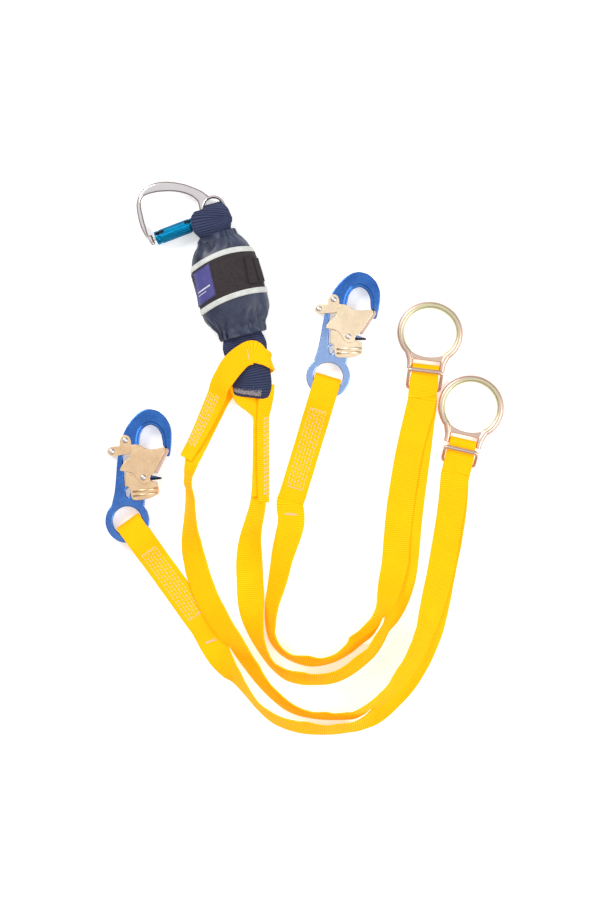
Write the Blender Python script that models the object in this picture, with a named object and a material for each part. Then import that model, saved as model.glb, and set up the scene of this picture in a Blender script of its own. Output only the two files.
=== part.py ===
"""Twin-leg shock absorbing lanyard with an energy absorber pack, laid out flat.

Metres, +Z up. The object lies on the plane z = 0. The origin is the middle of the
pack cover's flat underside, and +Y points from the legs' ends towards the carabiner.
"""
import math

import bmesh
import bpy
from mathutils import Matrix, Vector

MM = 0.001
GAP = 0.3 * MM
FLOOR_GAP = 0.1 * MM       # lowest point of any strap

# Webbing
WEB = 28.6 * MM            # width of a leg
WEB_T = 2.0 * MM           # thickness of a leg
NAVY_T = 2.4 * MM          # thickness of the navy loop webbing
FOLDED_EYE_WIDTH = 8.0 * MM
FOLDED_EYE_T = 3.2 * MM

# Absorber pack
PACK_TILT = math.radians(15.0)
COVER_SKIN = 1.5 * MM
COVER_SEGMENTS = 28
# distance along the pack, half width, height, underside
COVER_SECTIONS = [
    (0.054, 0.0205, 0.0255, 0.0035), (0.049, 0.0225, 0.0290, 0.0020), (0.042, 0.0270, 0.0330, 0.0010),
    (0.034, 0.0315, 0.0365, 0.0000), (0.020, 0.0350, 0.0390, 0.0000), (0.000, 0.0370, 0.0400, 0.0000),
    (-0.020, 0.0368, 0.0390, 0.0000), (-0.033, 0.0355, 0.0370, 0.0000), (-0.042, 0.0315, 0.0335, 0.0010),
    (-0.050, 0.0275, 0.0300, 0.0020), (-0.059, 0.0240, 0.0275, 0.0030),
]

TEAR_LAYERS = 5
TEAR_PITCH = 4.6 * MM
TEAR_LOW = 7.5 * MM
TEAR_HALF_LENGTH = 33.0 * MM
TEAR_TURN = 2.2 * MM
TEAR_WIDTH = 42.0 * MM
TEAR_T = 2.2 * MM
PATCH_SLOPE = 0.075        # trim runs slightly across the pack
STRIPE_T = 0.7 * MM
BAND_T = 1.3 * MM
PATCH_LIFT = 0.9 * MM
FLAP_T = 1.2 * MM
ELASTIC_R = 1.0 * MM
ELASTIC_INSET = 3.0 * MM
ELASTIC_AT = {"upper_cuff_elastic": 51.5 * MM, "lower_cuff_elastic": -55.5 * MM}

# Carabiner, measured from the centre of its captive eye
CARABINER_EYE = Vector((-0.0163, 0.0797, 0.0110))
CARABINER_T = 9.0 * MM
EYE_OUTER = 13.4 * MM
EYE_INNER = 9.6 * MM
GATE_HINGE = Vector((-0.0111, -0.0139, 0.0))
GATE_ANGLE = math.radians(201.0)
GATE_ROD = 5.0 * MM
SLEEVE_R = 7.7 * MM
SLEEVE_FROM = 9.5 * MM
SLEEVE_TO = 54.0 * MM

# Snap hooks, measured from the centre of the hook's eye
HOOK_Z = 10.6 * MM
HOOK_EYE_OUTER = 23.5 * MM
HOOK_EYE_INNER = 15.5 * MM
HOOK_BODY_HALF = 5.5 * MM
HOOK_EYE_HALF = 4.0 * MM
INNER_PLATE = (5.8 * MM, 7.0 * MM)
OUTER_PLATE = (7.3 * MM, 8.7 * MM)
LOCK_RIVET = Vector((-0.0021, 0.0861, 0.0))
EAR_RIVET = Vector((-0.0166, 0.0742, 0.0))
GATE_RIVET = Vector((0.0173, 0.0465, 0.0))
RIVET_R = 2.0 * MM
RIVET_HEAD_R = 3.2 * MM
RIVET_HEAD_T = 1.3 * MM
HOOKS = {
    "left": {"eye": Vector((-0.1081, -0.2547, HOOK_Z)), "turn": 0.0, "strap": Vector((0.58, -0.81, 0.0))},
    "right": {"eye": Vector((0.1059, -0.1027, HOOK_Z)), "turn": math.radians(-5.5),
              "strap": Vector((-0.29, -0.957, 0.0))},
}

# Tie-back rings, measured from the ring's centre towards its slot
RING_Z = 5.6 * MM
RING_R = 31.6 * MM
RING_WIRE = 3.75 * MM
SLOT_HALF = 15.0 * MM
POST_HALF = 20.4 * MM
CROSSBAR = (23.6 * MM, 31.0 * MM)
FOLD_BAR = 40.3 * MM
FOLD_BAR_R = 2.0 * MM
KEEPER_WIRE = 1.5 * MM
KEEPER_REAR = 62.0 * MM
KEEPER_HALF = WEB / 2 + 2.4 * MM
KEEPER_TOP = 11.9 * MM
KEEPER_LOW = 1.7 * MM
RINGS = {
    "right": {"centre": Vector((0.2151, -0.0524, RING_Z)), "turn": math.radians(-7.0), "keeper": 42.5 * MM},
    "left": {"centre": Vector((0.2589, -0.1327, RING_Z)), "turn": math.radians(-13.0), "keeper": 47.5 * MM},
}

COLOURS = {
    "yellow_web": ((0.90, 0.62, 0.02), 0.75, 0.0),
    "navy_web": ((0.030, 0.035, 0.085), 0.85, 0.0),
    "navy_fabric": ((0.055, 0.065, 0.12), 0.80, 0.0),
    "grey_stripe": ((0.55, 0.55, 0.52), 0.45, 0.0),
    "black_fabric": ((0.045, 0.035, 0.030), 0.90, 0.0),
    "label": ((0.06, 0.06, 0.22), 0.55, 0.0),
    "white_web": ((0.75, 0.73, 0.68), 0.85, 0.0),
    "rubber": ((0.02, 0.02, 0.02), 0.80, 0.0),
    "blue_anodised": ((0.03, 0.13, 0.45), 0.30, 1.0),
    "gold_zinc": ((0.75, 0.55, 0.33), 0.35, 1.0),
    "steel": ((0.62, 0.60, 0.57), 0.30, 1.0),
    "ring_steel": ((0.70, 0.57, 0.50), 0.28, 1.0),
    "silver": ((0.80, 0.80, 0.80), 0.20, 1.0),
    "cyan_anodised": ((0.0, 0.30, 0.62), 0.28, 1.0),
}


# ---------------------------------------------------------------- helpers

def clear_scene():
    for thing in list(bpy.data.objects):
        bpy.data.objects.remove(thing, do_unlink=True)


def material(name):
    found = bpy.data.materials.get(name)
    if found:
        return found
    colour, roughness, metallic = COLOURS[name]
    made = bpy.data.materials.new(name)
    made.use_nodes = True
    shader = made.node_tree.nodes["Principled BSDF"]
    shader.inputs["Base Color"].default_value = (*colour, 1.0)
    shader.inputs["Roughness"].default_value = roughness
    shader.inputs["Metallic"].default_value = metallic
    return made


def empty(name, location, turn=0.0, parent=None):
    frame = bpy.data.objects.new(name, None)
    frame.location = location
    frame.rotation_euler = (0.0, 0.0, turn)
    frame.parent = parent
    bpy.context.scene.collection.objects.link(frame)
    return frame


def node(name, mesh_builder, colour, parent=None, pivot=(0.0, 0.0, 0.0)):
    """One named object. Its mesh is given in its parent's frame, its origin goes to pivot."""
    mesh_builder.normal_update()
    bmesh.ops.recalc_face_normals(mesh_builder, faces=mesh_builder.faces)
    bmesh.ops.translate(mesh_builder, verts=mesh_builder.verts, vec=-Vector(pivot))
    mesh = bpy.data.meshes.new(name)
    mesh_builder.to_mesh(mesh)
    mesh_builder.free()
    mesh.shade_smooth()
    mesh.set_sharp_from_angle(angle=math.radians(35))
    mesh.materials.append(material(colour))
    piece = bpy.data.objects.new(name, mesh)
    piece.location = pivot
    piece.parent = parent
    bpy.context.scene.collection.objects.link(piece)
    return piece


def subtract(piece, cutter_builder, name):
    """Cut a closed shape, given in the same frame as the piece's own mesh, out of the piece."""
    bmesh.ops.recalc_face_normals(cutter_builder, faces=cutter_builder.faces)
    bmesh.ops.translate(cutter_builder, verts=cutter_builder.verts, vec=-piece.location)
    mesh = bpy.data.meshes.new(name)
    cutter_builder.to_mesh(mesh)
    cutter_builder.free()
    cutter = bpy.data.objects.new(name, mesh)
    cutter.location = piece.location
    cutter.parent = piece.parent
    cutter.hide_render = True
    cutter.display_type = "WIRE"
    bpy.context.scene.collection.objects.link(cutter)
    cut = piece.modifiers.new(name, "BOOLEAN")
    cut.operation = "DIFFERENCE"
    cut.solver = "EXACT"
    cut.object = cutter


def arc(centre, radius, start, end, steps):
    """Points on an arc, angles in degrees."""
    turns = [math.radians(start + (end - start) * i / steps) for i in range(steps + 1)]
    return [(centre[0] + radius * math.cos(a), centre[1] + radius * math.sin(a)) for a in turns]


def circle(centre, radius, steps=16):
    return arc(centre, radius, 0.0, 360.0 * (steps - 1) / steps, steps - 1)


def mm(points):
    return [(x * MM, y * MM) for x, y in points]


def catmull(points, per_span, closed=False):
    """A smooth curve through every point. Points may have any number of components."""
    count = len(points)
    spans = count if closed else count - 1
    curve = []
    for i in range(spans):
        around = [points[(i + k) % count] if closed else points[min(max(i + k, 0), count - 1)]
                  for k in (-1, 0, 1, 2)]
        p0, p1, p2, p3 = (Vector(p) for p in around)
        for k in range(per_span):
            t = k / per_span
            curve.append(0.5 * (2 * p1 + (p2 - p0) * t + (2 * p0 - 5 * p1 + 4 * p2 - p3) * t * t
                                + (3 * p1 - p0 - 3 * p2 + p3) * t ** 3))
    if not closed:
        curve.append(Vector(points[-1]))
    return curve


def plate(outer, holes, low, high):
    """A flat plate with round or shaped holes, between two heights."""
    shape = bmesh.new()
    edges = []
    for outline in [outer] + list(holes):
        ring = [shape.verts.new((x, y, low)) for x, y in outline]
        edges += [shape.edges.new((ring[i], ring[(i + 1) % len(ring)])) for i in range(len(ring))]
    filled = bmesh.ops.triangle_fill(shape, use_beauty=True, use_dissolve=False, edges=edges)
    faces = [g for g in filled["geom"] if isinstance(g, bmesh.types.BMFace)]
    raised = bmesh.ops.extrude_face_region(shape, geom=faces)
    lifted = [g for g in raised["geom"] if isinstance(g, bmesh.types.BMVert)]
    bmesh.ops.translate(shape, verts=lifted, vec=(0.0, 0.0, high - low))
    return shape


def loft(rings, closed_path=False):
    """Skin through rings of equally many points, with flat ends or closed on itself."""
    shape = bmesh.new()
    rows = [[shape.verts.new(p) for p in ring] for ring in rings]
    sides = len(rows[0])
    spans = len(rows) if closed_path else len(rows) - 1
    for i in range(spans):
        a, b = rows[i], rows[(i + 1) % len(rows)]
        for j in range(sides):
            shape.faces.new((a[j], a[(j + 1) % sides], b[(j + 1) % sides], b[j]))
    if not closed_path:
        shape.faces.new(rows[0])
        shape.faces.new(list(reversed(rows[-1])))
    return shape


def tube(path, radius, sides=8):
    """A round bar along a path, its section kept upright."""
    rings = []
    for i, point in enumerate(path):
        before, after = path[max(i - 1, 0)], path[min(i + 1, len(path) - 1)]
        along = (Vector(after) - Vector(before)).normalized()
        up = Vector((0.0, 0.0, 1.0)) if abs(along.z) < 0.9 else Vector((0.0, 1.0, 0.0))
        side = along.cross(up).normalized()
        up = side.cross(along).normalized()
        rings.append([Vector(point) + (side * math.cos(a) + up * math.sin(a)) * radius
                      for a in (2 * math.pi * k / sides for k in range(sides))])
    return loft(rings)


def cylinder(start, end, radius, sides=16):
    return tube([start, end], radius, sides)


def turned(profile, sides=16):
    """A solid of revolution about Z; profile is (radius, height) from one end to the other."""
    rings = [[Vector((r * math.cos(a), r * math.sin(a), z))
              for a in (2 * math.pi * k / sides for k in range(sides))] for r, z in profile]
    return loft(rings)


def box(low, high):
    corners = [(low[0], low[1]), (high[0], low[1]), (high[0], high[1]), (low[0], high[1])]
    return loft([[Vector((x, y, z)) for x, y in corners] for z in (low[2], high[2])])


def ribbon(stations, thickness, per_span):
    """A flat strap. Each station is centre x y z, width direction x y z, width."""
    curve = catmull(stations, per_span)
    rings = []
    for i, station in enumerate(curve):
        centre = Vector(station[:3])
        before = Vector(curve[max(i - 1, 0)][:3])
        after = Vector(curve[min(i + 1, len(curve) - 1)][:3])
        along = (after - before).normalized()
        across = Vector(station[3:6])
        across = (across - along * across.dot(along)).normalized() * station[6] / 2
        normal = along.cross(across).normalized() * thickness / 2
        ring = [centre - across - normal, centre + across - normal,
                centre + across + normal, centre - across + normal]
        for corner in ring:
            corner.z = max(corner.z, FLOOR_GAP)
        rings.append(ring)
    return loft(rings)


# ---------------------------------------------------------------- pack

def cover_section(y):
    """Half width, height and underside of the cover at a distance along it."""
    rows = COVER_SECTIONS
    for upper, lower in zip(rows, rows[1:]):
        if lower[0] <= y <= upper[0]:
            t = (y - lower[0]) / (upper[0] - lower[0])
            return [lower[k] + (upper[k] - lower[k]) * t for k in (1, 2, 3)]
    return list(rows[0][1:]) if y > rows[0][0] else list(rows[-1][1:])


def cover_point(y, angle, offset):
    """A point on the cover: a flattened oval with a flat underside."""
    half, height, under = cover_section(y)
    cos, sin = math.cos(angle), math.sin(angle)
    x = (half + offset) * math.copysign(abs(cos) ** 0.75, cos)
    middle = under + 0.42 * (height - under)
    rise = (height - middle if sin > 0 else 0.58 * (height - under)) + offset
    z = middle + rise * math.copysign(abs(sin) ** 0.85, sin)
    return Vector((x, y, max(z, under - offset)))


def cover_ring(y, offset):
    return [cover_point(y, 2 * math.pi * k / COVER_SEGMENTS, offset) for k in range(COVER_SEGMENTS)]


def sewn_patch(angles, lengths, lift, thickness, columns, rows=2):
    """A piece sewn on the cover's outside; angles and lengths are its limits."""
    grids = []
    for offset in (lift, lift + thickness):
        grid = []
        for i in range(rows + 1):
            line = []
            for j in range(columns + 1):
                angle = math.radians(angles[0] + (angles[1] - angles[0]) * j / columns)
                y = lengths[0] + (lengths[1] - lengths[0]) * i / rows
                flat = cover_point(y, angle, offset)
                line.append(cover_point(y + PATCH_SLOPE * flat.x, angle, offset))
            grid.append(line)
        grids.append(grid)
    rings = [grids[0][i] + list(reversed(grids[1][i])) for i in range(rows + 1)]
    return loft(rings)


def pack_cover(frame):
    ys = [row[0] for row in COVER_SECTIONS]
    outer = [cover_ring(y, 0.0) for y in ys]
    inner = []
    for y in reversed(ys):
        half, height, under = cover_section(y)
        middle = under + height / 2
        inner.append([Vector((p.x * (half - COVER_SKIN) / half, y,
                              max(middle + (p.z - middle) * 0.90, under + COVER_SKIN)))
                      for p in cover_ring(y, 0.0)])
    node("pack_cover", loft(outer + inner, closed_path=True), "navy_fabric", frame)


def absorber_core(frame):
    """Tear webbing folded to and fro in a stack inside the cover."""
    stations = []
    for layer in range(TEAR_LAYERS):
        z = TEAR_LOW + layer * TEAR_PITCH
        side = 1 if layer % 2 == 0 else -1
        for y in (-TEAR_HALF_LENGTH * side, 0.0, TEAR_HALF_LENGTH * side):
            stations.append((0.0, y, z, 1.0, 0.0, 0.0, TEAR_WIDTH))
        if layer < TEAR_LAYERS - 1:
            turn_at = (TEAR_HALF_LENGTH + TEAR_TURN) * side
            stations.append((0.0, turn_at, z + TEAR_PITCH / 2, 1.0, 0.0, 0.0, TEAR_WIDTH))
    node("absorber_tear_web", ribbon(stations, TEAR_T, 3), "white_web", frame)


def pack_trim(frame):
    for name, low in (("upper_stripe", 24.0 * MM), ("lower_stripe", -24.5 * MM)):
        strip = sewn_patch((-14, 194), (low, low + 6.0 * MM), GAP, STRIPE_T, 20)
        node(name, strip, "grey_stripe", frame)
    band = sewn_patch((50, 117), (-17.6 * MM, 23.0 * MM), PATCH_LIFT, BAND_T, 8, 3)
    node("hook_and_loop_band", band, "black_fabric", frame)
    label = sewn_patch((121, 186), (-16.5 * MM, 22.4 * MM), PATCH_LIFT, STRIPE_T, 8, 3)
    node("label_patch", label, "label", frame)
    # the loose tab of the closure, hinged along its sewn edge
    hinge = cover_point(0.0, math.radians(47), 1.5 * MM)
    flap = sewn_patch((14, 46), (-17.0 * MM, 20.0 * MM), PATCH_LIFT, FLAP_T, 5, 3)
    node("closure_flap", flap, "black_fabric", frame, pivot=hinge)


def pack_elastics(frame):
    """Gathering elastics round the web at both ends, inside the cover's mouths."""
    for name, y in ELASTIC_AT.items():
        path = [cover_point(y, 2 * math.pi * k / 24, -ELASTIC_INSET) for k in range(24)]
        node(name, elastic_ring(path), "rubber", frame)


def elastic_ring(path):
    middle = sum(path, Vector()) / len(path)
    rings = []
    for point in path:
        out = (point - middle).normalized()
        along = Vector((0.0, 1.0, 0.0))
        rings.append([point + (out * math.cos(a) + along * math.sin(a)) * ELASTIC_R
                      for a in (0.0, math.pi / 2, math.pi, 3 * math.pi / 2)])
    return loft(rings, closed_path=True)


def upper_loop(frame):
    """Navy web from the pack through the carabiner's eye and back, bunched at the eye."""
    # across the pack, along it, height, width
    side = [(0.0, 0.0395, 0.0180, 0.026), (0.0, 0.048, 0.0175, 0.024), (0.0, 0.0545, 0.0182, 0.026),
            (0.0002, 0.065, 0.0222, 0.042), (0.002, 0.073, 0.0215, 0.038),
            (0.0045, 0.079, 0.0190, 0.025), (0.0054, 0.0828, 0.0170, 0.0155),
            (0.0056, 0.0850, 0.0110, 0.0145), (0.0054, 0.0828, 0.0045, 0.0155),
            (0.0045, 0.078, 0.0021, 0.024), (0.002, 0.070, 0.0017, 0.028), (0.0, 0.060, 0.0060, 0.026),
            (0.0, 0.052, 0.0098, 0.024), (0.0, 0.042, 0.0100, 0.024)]
    stations = [(x, y, z, 1.0, 0.0, 0.0, width) for x, y, z, width in side]
    node("pack_upper_loop", ribbon(stations, NAVY_T, 2), "navy_web", frame)


def lower_loop():
    """Navy web from the pack round the legs' eyes and back."""
    # x, y, z, width direction angle, width
    side = [(0.0125, -0.044, 0.0190, 14, 0.030), (0.0145, -0.055, 0.0192, 13, 0.031),
            (0.0160, -0.068, 0.0212, 10, 0.039), (0.0185, -0.090, 0.0215, 3, 0.041),
            (0.0225, -0.108, 0.0210, -4, 0.040), (0.0235, -0.1180, 0.0180, -6, 0.038),
            (0.0237, -0.1220, 0.0130, -6, 0.0375), (0.0235, -0.1180, 0.0078, -6, 0.037),
            (0.0220, -0.108, 0.0049, -4, 0.036), (0.0185, -0.088, 0.0045, 3, 0.036),
            (0.0155, -0.066, 0.0075, 12, 0.030), (0.0145, -0.055, 0.0098, 13, 0.026),
            (0.0125, -0.044, 0.0100, 14, 0.026)]
    stations = []
    for x, y, z, angle, width in side:
        a = math.radians(angle)
        stations.append((x, y, z, math.cos(a), math.sin(a), 0.0, width))
    node("pack_lower_loop", ribbon(stations, NAVY_T, 2), "navy_web")


# ---------------------------------------------------------------- carabiner

CARABINER_OUTER = [(-7.0, 14.2), (-14.8, 19.3), (-32.0, 25.8), (-51.0, 28.4), (-66.0, 26.0),
                   (-77.5, 18.8), (-83.0, 8.0), (-83.4, -3.0), (-80.0, -19.0), (-75.0, -30.0),
                   (-71.5, -34.5)]
CARABINER_INNER = [(-73.5, -15.0), (-76.2, -3.0), (-77.0, 6.0), (-73.5, 12.0), (-62.0, 15.6),
                   (-48.0, 16.8), (-35.0, 15.6), (-24.0, 11.8), (-17.0, 6.0)]


def carabiner():
    frame = empty("carabiner_swivel", CARABINER_EYE)
    along = Vector((math.cos(GATE_ANGLE), math.sin(GATE_ANGLE), 0.0))
    inward = Vector((along.y, -along.x, 0.0))
    half = CARABINER_T / 2

    def at(distance, side, z=0.0):
        return GATE_HINGE + along * distance + inward * side + Vector((0.0, 0.0, z))

    spine = catmull(mm(CARABINER_OUTER), 3)
    inside = catmull(mm(CARABINER_INNER), 3)
    nose = [at(60.5 * MM, -5.6 * MM), at(56.5 * MM, -5.6 * MM),
            at(56.5 * MM, 5.6 * MM), at(60.0 * MM, 5.8 * MM)]
    boss = [at(0.5 * MM, 6.6 * MM), at(-6.0 * MM, -4.4 * MM)]
    left_of_boss = [(p.x, p.y) for p in (at(5.4 * MM, 5.0 * MM), at(6.4 * MM, 0.0), at(5.2 * MM, -4.6 * MM),
                                         at(1.5 * MM, -6.6 * MM), at(-4.5 * MM, -6.8 * MM))]
    outline = [(p.x, p.y) for p in spine]
    outline += [(p.x, p.y) for p in nose]
    outline += [(p.x, p.y) for p in inside]
    outline += [(boss[0].x, boss[0].y)] + left_of_boss
    outline += arc((0.0, 0.0), EYE_OUTER, -72.0, 112.0, 14)
    pin_hole = circle(GATE_HINGE, 1.8 * MM, 12)
    body = node("carabiner_body", plate(outline, [circle((0.0, 0.0), EYE_INNER, 24), pin_hole], -half, half),
                "silver", frame)
    tongue = [at(-7.2 * MM, -7.5 * MM), at(8.0 * MM, -7.5 * MM),
              at(8.0 * MM, 9.0 * MM), at(-5.0 * MM, 9.0 * MM)]
    subtract(body, plate([(p.x, p.y) for p in tongue], [], -2.6 * MM, 2.6 * MM), "gate_slot_cutter")
    latch = [at(55.0 * MM, -2.6 * MM), at(60.4 * MM, -2.6 * MM),
             at(60.4 * MM, 8.0 * MM), at(55.0 * MM, 8.0 * MM)]
    subtract(body, plate([(p.x, p.y) for p in latch], [], -2.6 * MM, 2.6 * MM), "latch_slot_cutter")

    swing = empty("carabiner_gate_axis", GATE_HINGE, GATE_ANGLE, frame)
    # in this frame +X runs along the gate, from its hinge to the nose
    eye = circle((0.0, 0.0), 1.8 * MM, 12)
    tang = arc((0.0, 0.0), 4.6 * MM, 60.0, 300.0, 10) + [(9.4 * MM, -3.2 * MM), (9.4 * MM, 3.2 * MM)]
    gate = node("carabiner_gate", carabiner_gate_shape(tang, eye), "silver", swing)
    bore = cylinder(Vector((20 * MM, 0, 0)), Vector((52 * MM, 0, 0)), 2.9 * MM, 12)
    subtract(gate, bore, "gate_bore_cutter")
    subtract(gate, box((24 * MM, -7 * MM, -1.2 * MM), (30 * MM, -2 * MM, 1.2 * MM)), "gate_vent_cutter")
    spring = helix(Vector((22 * MM, 0, 0)), 26 * MM, 2.0 * MM, 0.4 * MM, 6)
    node("carabiner_gate_spring", spring, "steel", swing)
    sleeve = loft(sleeve_rings(), closed_path=True)
    node("carabiner_lock_sleeve", sleeve, "cyan_anodised", swing)
    node("carabiner_gate_pin", cylinder(GATE_HINGE - Vector((0, 0, half)), GATE_HINGE + Vector((0, 0, half)),
                                        1.5 * MM, 12), "steel", frame)


def carabiner_gate_shape(tang, eye):
    """The gate's rod with a flat tang at the hinge and a latch head at the nose, as one solid."""
    shape = plate(tang, [eye], -2.3 * MM, 2.3 * MM)
    joined = [g for g in shape.faces if all(abs(v.co.x - 9.4 * MM) < 1e-7 for v in g.verts)]
    bmesh.ops.delete(shape, geom=joined, context="FACES_ONLY")
    rim = [v for v in shape.verts if abs(v.co.x - 9.4 * MM) < 1e-7]
    rim.sort(key=lambda v: math.atan2(v.co.z, v.co.y))
    profile = [(4.9, 9.9), (5.0, 51.8), (2.3, 52.8), (2.2, 55.6), (2.2, 58.9)]
    rows = []
    for radius, x in profile:
        rows.append([shape.verts.new((x * MM, radius * MM * math.cos(a), radius * MM * math.sin(a)))
                     for a in (2 * math.pi * (k + 0.5) / 16 - math.pi for k in range(16))])
    for a, b in zip(rows, rows[1:]):
        for k in range(16):
            shape.faces.new((a[k], a[(k + 1) % 16], b[(k + 1) % 16], b[k]))
    shape.faces.new(rows[-1])
    first = [shape.edges.get((rows[0][k], rows[0][(k + 1) % 16])) for k in range(16)]
    square = [shape.edges.get((rim[k], rim[(k + 1) % 4])) for k in range(4)]
    bmesh.ops.bridge_loops(shape, edges=first + square)
    return shape


def sleeve_rings():
    """Outer wall then inner wall of the twist sleeve, with a wider knurled waist."""
    profile = [(5.5, 54.0), (7.0, 54.0), (7.5, 53.0), (7.7, 44.0), (7.7, 22.0), (7.5, 10.5), (7.0, 9.5),
               (5.5, 9.5)]
    return [[Vector((x * MM, r * MM * math.cos(a), r * MM * math.sin(a)))
             for a in (2 * math.pi * k / 20 for k in range(20))] for r, x in profile]


def helix(start, length, radius, wire, turns):
    """A coil spring along +X."""
    steps = turns * 10
    path = [start + Vector((length * i / steps, radius * math.cos(2 * math.pi * i / 10),
                            radius * math.sin(2 * math.pi * i / 10))) for i in range(steps + 1)]
    return tube(path, wire, 5)


# ---------------------------------------------------------------- snap hooks

HOOK_BODY = [(-14.6, 24.5), (-12.9, 37.5), (-10.9, 64.0), (-8.2, 81.0), (-2.4, 98.0), (6.5, 110.5),
             (14.5, 117.3), (22.8, 119.8), (33.0, 117.7), (41.5, 110.3), (46.3, 100.5), (47.2, 92.0),
             (47.0, 83.0), (46.0, 74.5), (44.3, 70.6), (42.6, 72.4), (43.0, 76.6), (38.8, 80.6),
             (38.2, 84.5), (36.3, 92.5), (32.0, 99.6), (24.8, 103.2), (17.4, 99.8), (13.6, 92.5),
             (12.5, 84.0), (12.2, 79.6), (1.0, 78.0), (-4.8, 70.5), (-4.3, 60.0), (-2.4, 32.0),
             (-0.6, 25.4), (2.2, 25.4), (4.0, 33.0), (8.4, 40.5)]
HOOK_HORN = [(23.0, 51.5), (26.0, 48.6), (36.6, 46.6), (36.4, 44.6), (25.0, 43.4), (22.0, 37.0),
             (19.4, 28.0), (18.6, 20.5)]
GATE_PLATE = [(4.3, 81.7), (11.8, 81.6), (17.5, 77.8), (22.5, 76.4), (28.9, 76.7), (36.4, 78.2),
              (39.4, 77.9), (40.6, 74.8), (28.4, 51.4), (25.1, 49.4), (23.5, 41.9), (18.2, 38.9),
              (13.4, 41.2), (10.2, 46.0), (7.4, 50.2), (3.2, 52.3), (-2.1, 53.0), (-7.2, 53.2),
              (-7.7, 54.8), (-4.3, 61.5), (2.1, 67.2), (2.9, 71.8)]
GATE_CAVITY = [(-30.0, 100.0), (38.0, 100.0), (38.0, 77.0), (38.9, 74.6), (26.9, 51.9), (26.9, 20.0),
               (-30.0, 20.0)]
LOCK_PLATE = [(-16.6, 79.3), (-9.0, 79.6), (-7.9, 81.8), (-8.0, 86.1), (-6.3, 90.3), (-2.1, 92.1),
              (2.1, 90.3), (3.8, 86.1), (4.2, 82.0), (8.4, 77.4), (8.4, 72.8), (2.7, 71.9),
              (-10.7, 69.3), (-16.6, 69.1), (-20.2, 70.6), (-21.7, 74.2), (-20.2, 77.8)]
LOCK_CAVITY = [(-30.0, 100.0), (20.0, 100.0), (20.0, 75.2), (3.8, 75.2), (3.8, 60.0), (-30.0, 60.0)]
LEVER_PLATE = [(-1.6, 51.4), (8.5, 52.4), (17.3, 53.2), (22.2, 51.0), (23.8, 46.4), (25.5, 42.0),
               (32.2, 41.8), (34.2, 31.0), (33.2, 28.4), (23.5, 23.9), (12.8, 22.0), (5.3, 22.5),
               (3.7, 29.0), (3.2, 35.3), (-1.6, 37.5)]
LEVER_CAVITY = [(-30.0, 60.0), (31.4, 60.0), (31.4, 10.0), (-30.0, 10.0)]


def channel(name, outline, holes, cavity, layer, frame, pivot):
    """A stamped channel: two cheeks, joined where the cavity leaves the outline filled."""
    low, high = layer
    piece = node(name, plate(mm(outline), holes, -high, high), "gold_zinc", frame, pivot)
    subtract(piece, plate(mm(cavity), [], -low, low), name + "_cavity_cutter")
    return piece


def rivet(name, centre, head_low, frame):
    """A headed pin through a hook, its heads starting at head_low on both sides."""
    top = head_low + RIVET_HEAD_T
    dome = RIVET_HEAD_R * 0.62
    profile = [(dome, -top), (RIVET_HEAD_R, -head_low - RIVET_HEAD_T * 0.45), (RIVET_HEAD_R, -head_low),
               (RIVET_R, -head_low), (RIVET_R, head_low), (RIVET_HEAD_R, head_low),
               (RIVET_HEAD_R, head_low + RIVET_HEAD_T * 0.45), (dome, top)]
    pin = turned(profile, 14)
    bmesh.ops.translate(pin, verts=pin.verts, vec=centre)
    node(name, pin, "steel", frame, pivot=centre)


def snap_hook(side, spec):
    frame = empty(side + "_hook_swivel", spec["eye"], spec["turn"])
    clear = RIVET_R + GAP
    gate_hole = circle(GATE_RIVET, clear, 14)
    lock_hole = circle(LOCK_RIVET, clear, 14)
    ear_hole = circle(EAR_RIVET, clear, 14)
    lobe = arc(GATE_RIVET, 7.6 * MM, 190.0, 52.0, 7)
    ring = arc((0.0, 0.0), HOOK_EYE_OUTER, 40.0, -224.0, 26)
    outline = mm(HOOK_BODY) + lobe + mm(HOOK_HORN) + ring
    eye = circle((0.0, 0.0), HOOK_EYE_INNER, 28)
    forging = plate(outline, [eye, gate_hole, lock_hole], -HOOK_BODY_HALF, HOOK_BODY_HALF)
    body = node(side + "_hook_body", forging, "blue_anodised", frame)
    for end, low, high in (("top", HOOK_EYE_HALF, 9 * MM), ("under", -9 * MM, -HOOK_EYE_HALF)):
        subtract(body, plate(circle((0.0, 0.0), HOOK_EYE_OUTER + 1.0 * MM, 28), [], low, high),
                 side + "_eye_" + end + "_cutter")
    pocket = plate(circle(GATE_RIVET, 10.0 * MM, 20), [], 2.9 * MM, 9 * MM)
    subtract(body, pocket, side + "_spring_pocket_cutter")
    channel(side + "_hook_gate", GATE_PLATE, [gate_hole], GATE_CAVITY, OUTER_PLATE, frame, GATE_RIVET)
    channel(side + "_hook_lock", LOCK_PLATE, [lock_hole, ear_hole], LOCK_CAVITY, INNER_PLATE, frame,
            LOCK_RIVET)
    channel(side + "_hook_lever", LEVER_PLATE, [gate_hole], LEVER_CAVITY, INNER_PLATE, frame, GATE_RIVET)
    rivet(side + "_hook_gate_rivet", GATE_RIVET, OUTER_PLATE[1] + GAP, frame)
    rivet(side + "_hook_lock_rivet", LOCK_RIVET, INNER_PLATE[1] + GAP, frame)
    rivet(side + "_hook_ear_rivet", EAR_RIVET, INNER_PLATE[1] + GAP, frame)
    coil = []
    for i in range(25):
        a = 2 * math.pi * i / 12
        coil.append(GATE_RIVET + Vector((3.6 * math.cos(a), 3.6 * math.sin(a), 3.6 + 0.068 * i)) * MM)
    node(side + "_hook_gate_spring", tube(coil, 0.3 * MM, 5), "steel", frame, GATE_RIVET)


# ---------------------------------------------------------------- tie-back rings

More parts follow.
